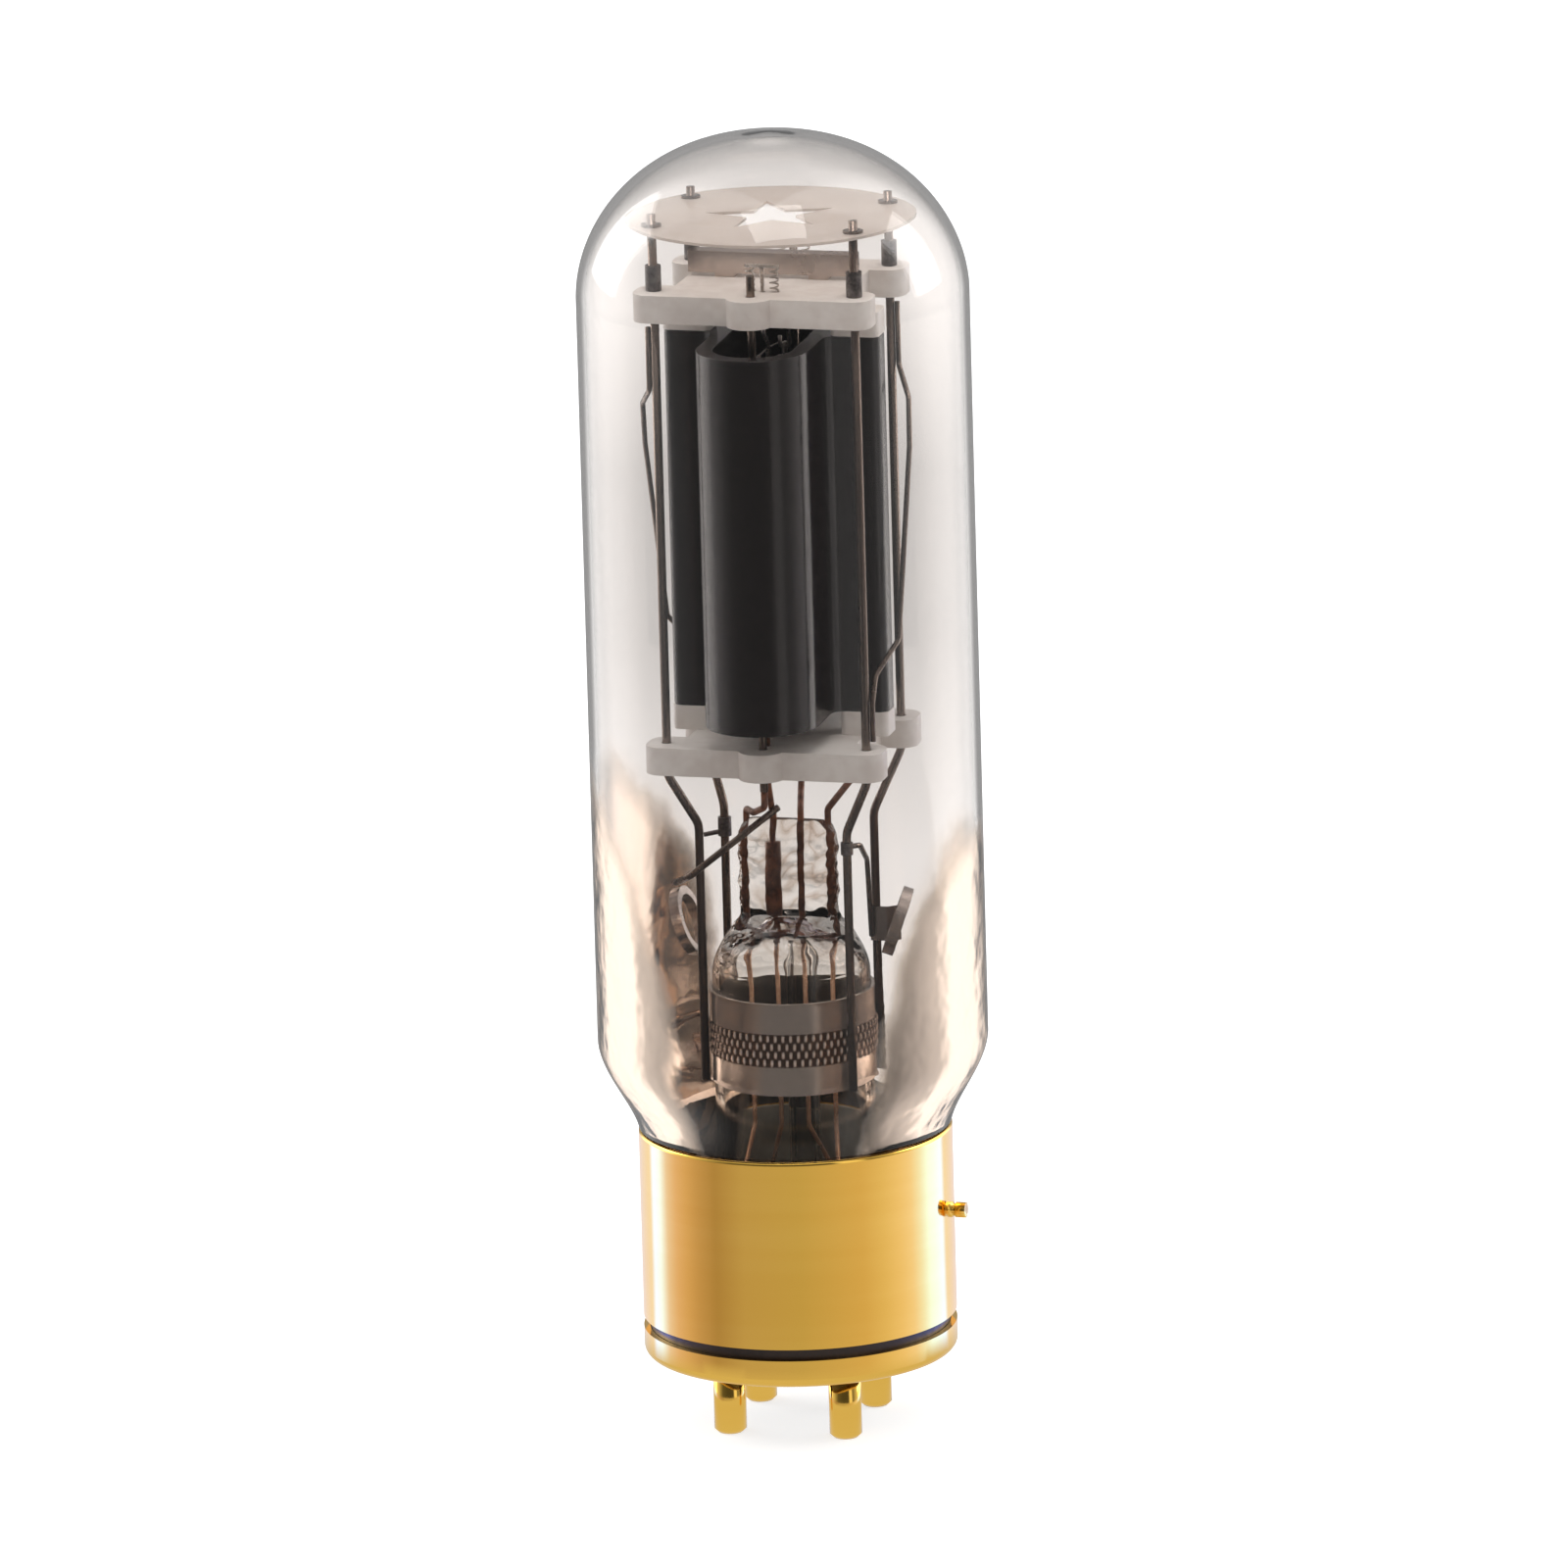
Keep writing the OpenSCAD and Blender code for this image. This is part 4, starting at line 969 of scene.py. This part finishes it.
# How bright the room's wall is, from the camera's side of the tube (0) to behind it (1).
WALL_LEVELS = (
    (0.0, 0.08), (0.17, 0.13), (0.3, 0.35), (0.43, 0.65), (0.52, 0.8), (0.6, 0.95), (0.64, 1.0),
    (0.86, 1.0), (0.94, 0.4),
)
# How bright the floor is through glass, by the distance from the tube in metres.
FLOOR_LEVELS = ((0.33, 0.3), (0.48, 0.0), (0.6, 0.0), (0.72, 0.4))
# The cards' colours by the angle round the tube in degrees: 0 is towards the camera, 90 to the right.
CARD_TONES = (
    (-172, (0.9, 0.85, 0.9)), (-138, (1.0, 1.1, 1.6)), (-132, (1.05, 1.75, 5.8)),
    (-122, (1.05, 1.75, 5.8)), (-112, (0.9, 0.97, 2.2)), (-101, (0.82, 0.72, 1.2)),
    (-90, (0.72, 0.61, 0.8)), (-80, (0.6, 0.5, 0.6)), (-63, (0.45, 0.38, 0.37)),
    (-41, (0.55, 0.515, 0.525)), (0, (0.575, 0.553, 0.508)), (48, (0.72, 0.65, 0.63)),
    (65, (0.82, 0.79, 0.9)), (80, (0.93, 0.92, 1.3)), (92, (0.99, 1.05, 1.9)),
    (103, (1.0, 1.4, 3.6)), (112, (1.05, 1.8, 5.8)), (132, (1.05, 1.8, 5.8)),
    (138, (1.0, 1.1, 1.6)), (172, (0.9, 0.85, 0.9)),
)


@dataclass
class Studio:
    """The camera at the photograph's angle, the soft lamps, the white backdrop and the floor.

    The point at target_z on the tube's axis lands on target_pixel. Slopes run over the height of a direction
    (ceiling, above, soft), over how far behind the tube it points (the glare's and patch_front), over the
    angle from the panel's middle, or over the distance from the tube in metres (the others).

    Attributes:
        azimuth, elevation, roll: the camera's angles, in degrees.
        floor_glow, floor_white, floor_under: the floor's own light to the camera, the share of light that it
            scatters, and its light to metal close round the pins.
        inner_share: the share of the glare that is mirrored behind glass.
        panel_angle: the pale panel's angle from the camera to the right, in radians.
        glare_rise, glare_fall: how the glare behind the tube comes in, and goes out straight behind.
        ceiling, above, soft: the room's upper light through glass, in mirrors and on dull surfaces.
        ring_start, ring_end: where the cards round the tube start and end.
        patch_front, patch_reach: a patch of light on the floor in front.
    """

    azimuth: float = 15.076
    elevation: float = 14.25
    roll: float = 1.576
    distance: float = 3.3
    target_z: float = 97.0 * MM
    pixels_per_mm: float = 6.998
    target_pixel: tuple[float, float] = (801.975, 793.26)
    image_side: int = 1600
    sensor: float = 36.0
    base_radius: float = 23.0 * MM
    floor_half: float = 6.0
    floor_glow: float = 0.75
    floor_white: float = 0.8
    floor_under: float = 0.72
    inner_share: float = 0.55
    panel_angle: float = 0.7
    panel: Slope = Slope(0.24, 0.12, 0.0, 0.9)
    glare_rise: Slope = Slope(0.1, 0.3, 0.0, 1.5)
    glare_fall: Slope = Slope(0.92, 0.8)
    ceiling: Slope = Slope(0.5, 0.75, 1.0, 0.64)
    above: Slope = Slope(0.45, 0.8, 0.0, 0.7)
    soft: Slope = Slope(-1.0, 1.0, 0.3, 0.6)
    ring_start: Slope = Slope(0.05, 0.065)
    ring_end: Slope = Slope(0.27, 0.22)
    patch_front: Slope = Slope(-0.6, -0.8)
    patch_reach: Slope = Slope(0.34, 0.3, 0.0, 0.5)

    def camera(self) -> None:
        """Places the camera so that the point on the axis at target_z lands on target_pixel."""
        a, e, r = (math.radians(x) for x in (self.azimuth, self.elevation, self.roll))
        back = Vector((math.sin(a) * math.cos(e), -math.cos(a) * math.cos(e), math.sin(e)))
        level = Vector((math.cos(a), math.sin(a), 0.0))
        upright = back.cross(level)
        right = level * math.cos(r) - upright * math.sin(r)
        up = level * math.sin(r) + upright * math.cos(r)
        data = bpy.data.cameras.new("camera")
        data.sensor_width = self.sensor
        view_width = self.image_side / self.pixels_per_mm * MM
        data.lens = self.sensor * self.distance / view_width
        data.clip_start, data.clip_end = 0.1, 50.0
        across = (self.target_pixel[0] - self.image_side / 2) / self.pixels_per_mm * MM
        down = (self.target_pixel[1] - self.image_side / 2) / self.pixels_per_mm * MM
        where = Vector((0.0, 0.0, self.target_z)) + back * self.distance - right * across + up * down
        camera = bpy.data.objects.new("camera", data)
        camera.matrix_world = Matrix.Translation(where) @ Matrix((right, up, back)).transposed().to_4x4()
        bpy.context.scene.collection.objects.link(camera)
        bpy.context.scene.camera = camera

    def ahead(self, tree: Tree, place: Socket) -> tuple[Socket, Socket]:
        """Returns how far a direction lies to the right of the camera's side, and ahead of the camera.

        Both are parts of the direction once it is laid level and given length 1.

        Args:
            tree: the tree to add the nodes to.
            place: the direction, or a place on the floor round the tube.

        Returns:
            The part to the right and the part ahead.
        """
        a = math.radians(self.azimuth)
        level = tree.add("VectorMath", {0: place, 1: (1.0, 1.0, 0.0)}, operation="MULTIPLY").outputs[0]
        flat = tree.add("VectorMath", {0: level}, operation="NORMALIZE").outputs[0]
        parts = []
        for axis in ((math.cos(a), math.sin(a), 0.0), (-math.sin(a), math.cos(a), 0.0)):
            parts.append(tree.add("VectorMath", {0: flat, 1: axis}, operation="DOT_PRODUCT").outputs["Value"])
        return parts[0], parts[1]

    def bearing(self, tree: Tree, right: Socket, ahead: Socket) -> Socket:
        """Returns the angle round the tube, 0 towards the camera and positive to the right, in radians."""
        return tree.math("ARCTAN2", right, tree.times(ahead, -1.0))

    def room(self, tree: Tree, place: Socket, ray: Paths) -> Socket:
        """Returns the light that a shiny surface sees level with it: dark in front, white beside and behind.

        A narrow pale panel stands in front on the right. It and the glare behind are for metal only, and in
        a share for what is mirrored behind glass.

        Args:
            tree: the tree to add the nodes to.
            place: the direction, or a place on the floor round the tube.
            ray: the ray's switches.

        Returns:
            The light.
        """
        right, ahead = self.ahead(tree, place)
        wall = tree.levels(tree.fit(ahead, -1.0, 1.0), WALL_LEVELS)
        off = tree.math("SUBTRACT", self.bearing(tree, right, ahead), self.panel_angle)
        panel = tree.fit(tree.math("ABSOLUTE", off), *self.panel)
        behind = tree.times(tree.fit(ahead, *self.glare_rise), tree.fit(ahead, *self.glare_fall))
        glare = tree.plus(panel, behind)
        share = tree.plus(ray.brushed, ray.inner)
        return tree.plus(wall, tree.times(glare, share))

    def paths(self, tree: Tree) -> Paths:
        """Returns the switches for the ray that looks.

        A ray that was mirrored or scattered before it left through the glass counts as what it was then.
        """
        path = tree.add("LightPath")
        clean = tree.math("LESS_THAN", path.outputs["Diffuse Depth"], 0.5)
        turned = tree.math("MINIMUM", tree.math("GREATER_THAN", path.outputs["Glossy Depth"], 0.5), clean)
        straight = tree.math("SUBTRACT", clean, turned, clamp=True)
        through = tree.times(path.outputs["Is Transmission Ray"], straight)
        brushed = tree.math("SUBTRACT", turned, path.outputs["Is Singular Ray"], clamp=True)
        inside = tree.math("GREATER_THAN", path.outputs["Transmission Depth"], 0.5)
        both = tree.math("SUBTRACT", tree.times(turned, inside), brushed, clamp=True)
        inner = tree.times(both, self.inner_share)
        return Paths(path.outputs["Is Camera Ray"], through, turned, brushed, inner)

    def world(self) -> None:
        """Makes the room: white for the camera and through glass, and a softer light for the rest."""
        world = bpy.data.worlds.new("room")
        bpy.context.scene.world = world
        tree = Tree(world)
        ray = self.paths(tree)
        place = tree.add("TexCoord").outputs["Generated"]
        rise = tree.height(place)
        ceiling = tree.times(ray.through, tree.fit(rise, *self.ceiling))
        seen = tree.larger(ray.direct, ceiling)
        mirrored = tree.larger(self.room(tree, place, ray), tree.fit(rise, *self.above))
        bright = tree.larger(seen, tree.times(ray.turned, mirrored))
        known = tree.larger(tree.larger(ray.direct, ray.through), ray.turned)
        rest = tree.math("SUBTRACT", 1.0, known, clamp=True)
        plain = tree.times(rest, tree.fit(rise, *self.soft))
        light = {"Color": (*WHITE, 1.0), "Strength": tree.larger(bright, plain)}
        tree.add("OutputWorld", {"Surface": tree.add("Background", light).outputs[0]})

    def cards(self, tree: Tree, place: Socket) -> Socket:
        """Returns what the plated base mirrors on the floor: gold's mid tone in front, white cards beside.

        The angle round the tube is first turned out by what the base's own radius hides, which is the base's
        radius times the sine of half the angle, over the distance.

        Args:
            tree: the tree to add the nodes to.
            place: the place on the floor.

        Returns:
            The colour.
        """
        angle = self.bearing(tree, *self.ahead(tree, place))
        half_sine = tree.math("SINE", tree.times(angle, 0.5))
        slip = tree.math("DIVIDE", tree.times(half_sine, self.base_radius), tree.length(place))
        share = tree.fit(tree.plus(angle, slip), -math.pi, math.pi)
        return tree.ramp(share, [((at + 180) / 360, tone) for at, tone in CARD_TONES])

    def floor_light(self, tree: Tree, ray: Paths) -> Socket:
        """Returns the floor's own light: plain to the camera and through glass, and a room to mirrors.

        Args:
            tree: the tree to add the nodes to.
            ray: the ray's switches.

        Returns:
            The colour.
        """
        place = tree.add("TexCoord").outputs["Object"]
        away = tree.length(place)
        far = tree.times(ray.through, tree.levels(away, FLOOR_LEVELS))
        seen = tree.larger(tree.times(ray.direct, self.floor_glow), far)
        front = tree.fit(self.ahead(tree, place)[1], *self.patch_front)
        reach = tree.fit(away, *self.patch_reach)
        patch = tree.times(tree.times(front, reach), ray.brushed)
        wall = tree.larger(self.room(tree, place, ray), patch)
        close = tree.times(tree.fit(away, *self.ring_end), ray.brushed)
        started = tree.fit(away, *self.ring_start)
        room = tree.times(tree.math("SUBTRACT", ray.turned, close, clamp=True), wall)
        under = tree.math("SUBTRACT", close, started, clamp=True)
        below = tree.times(under, self.floor_under)
        base = tree.plus(tree.plus(room, below), seen)
        ring = tree.times(close, started)
        card = tree.add("VectorMath", {0: self.cards(tree, place), 3: ring}, operation="SCALE").outputs[0]
        return tree.add("VectorMath", {0: card, 1: base}, operation="ADD").outputs[0]

    def floor(self) -> None:
        """Lays a pale floor that is white to the camera and still takes the tube's shadow."""
        mesh = bpy.data.meshes.new("floor")
        half = self.floor_half
        corners = [(-half, -half, 0), (half, -half, 0), (half, half, 0), (-half, half, 0)]
        mesh.from_pydata(corners, [], [(0, 1, 2, 3)])
        floor = bpy.data.objects.new("floor", mesh)
        bpy.context.scene.collection.objects.link(floor)
        made = bpy.data.materials.new("floor")
        tree = Tree(made)
        ray = self.paths(tree)
        unlit = tree.math("SUBTRACT", 1.0, ray.turned)
        paper = tree.add("BsdfDiffuse", {"Color": tree.times(unlit, self.floor_white)})
        glow = tree.add("Emission", {"Color": self.floor_light(tree, ray)})
        both = tree.add("AddShader", {0: paper.outputs[0], 1: glow.outputs[0]})
        tree.add("OutputMaterial", {"Surface": both.outputs[0]})
        mesh.materials.append(made)

    def build(self) -> None:
        """Builds the whole studio."""
        self.camera()
        self.world()
        self.floor()
        for lamp in LAMPS:
            lamp.build(Vector((0.0, 0.0, self.target_z)))
        bpy.context.scene.view_settings.view_transform = "Standard"


def main() -> None:
    logging.basicConfig(level=logging.INFO, format="%(name)s %(message)s")
    Studio().build()
    for assembly in (Bulb(), Stem(), Base(), Cage(), Electrodes(), Getters()):
        assembly.build()
        log.info("%s is dressed", type(assembly).__name__)


if __name__ == "__main__":
    main()
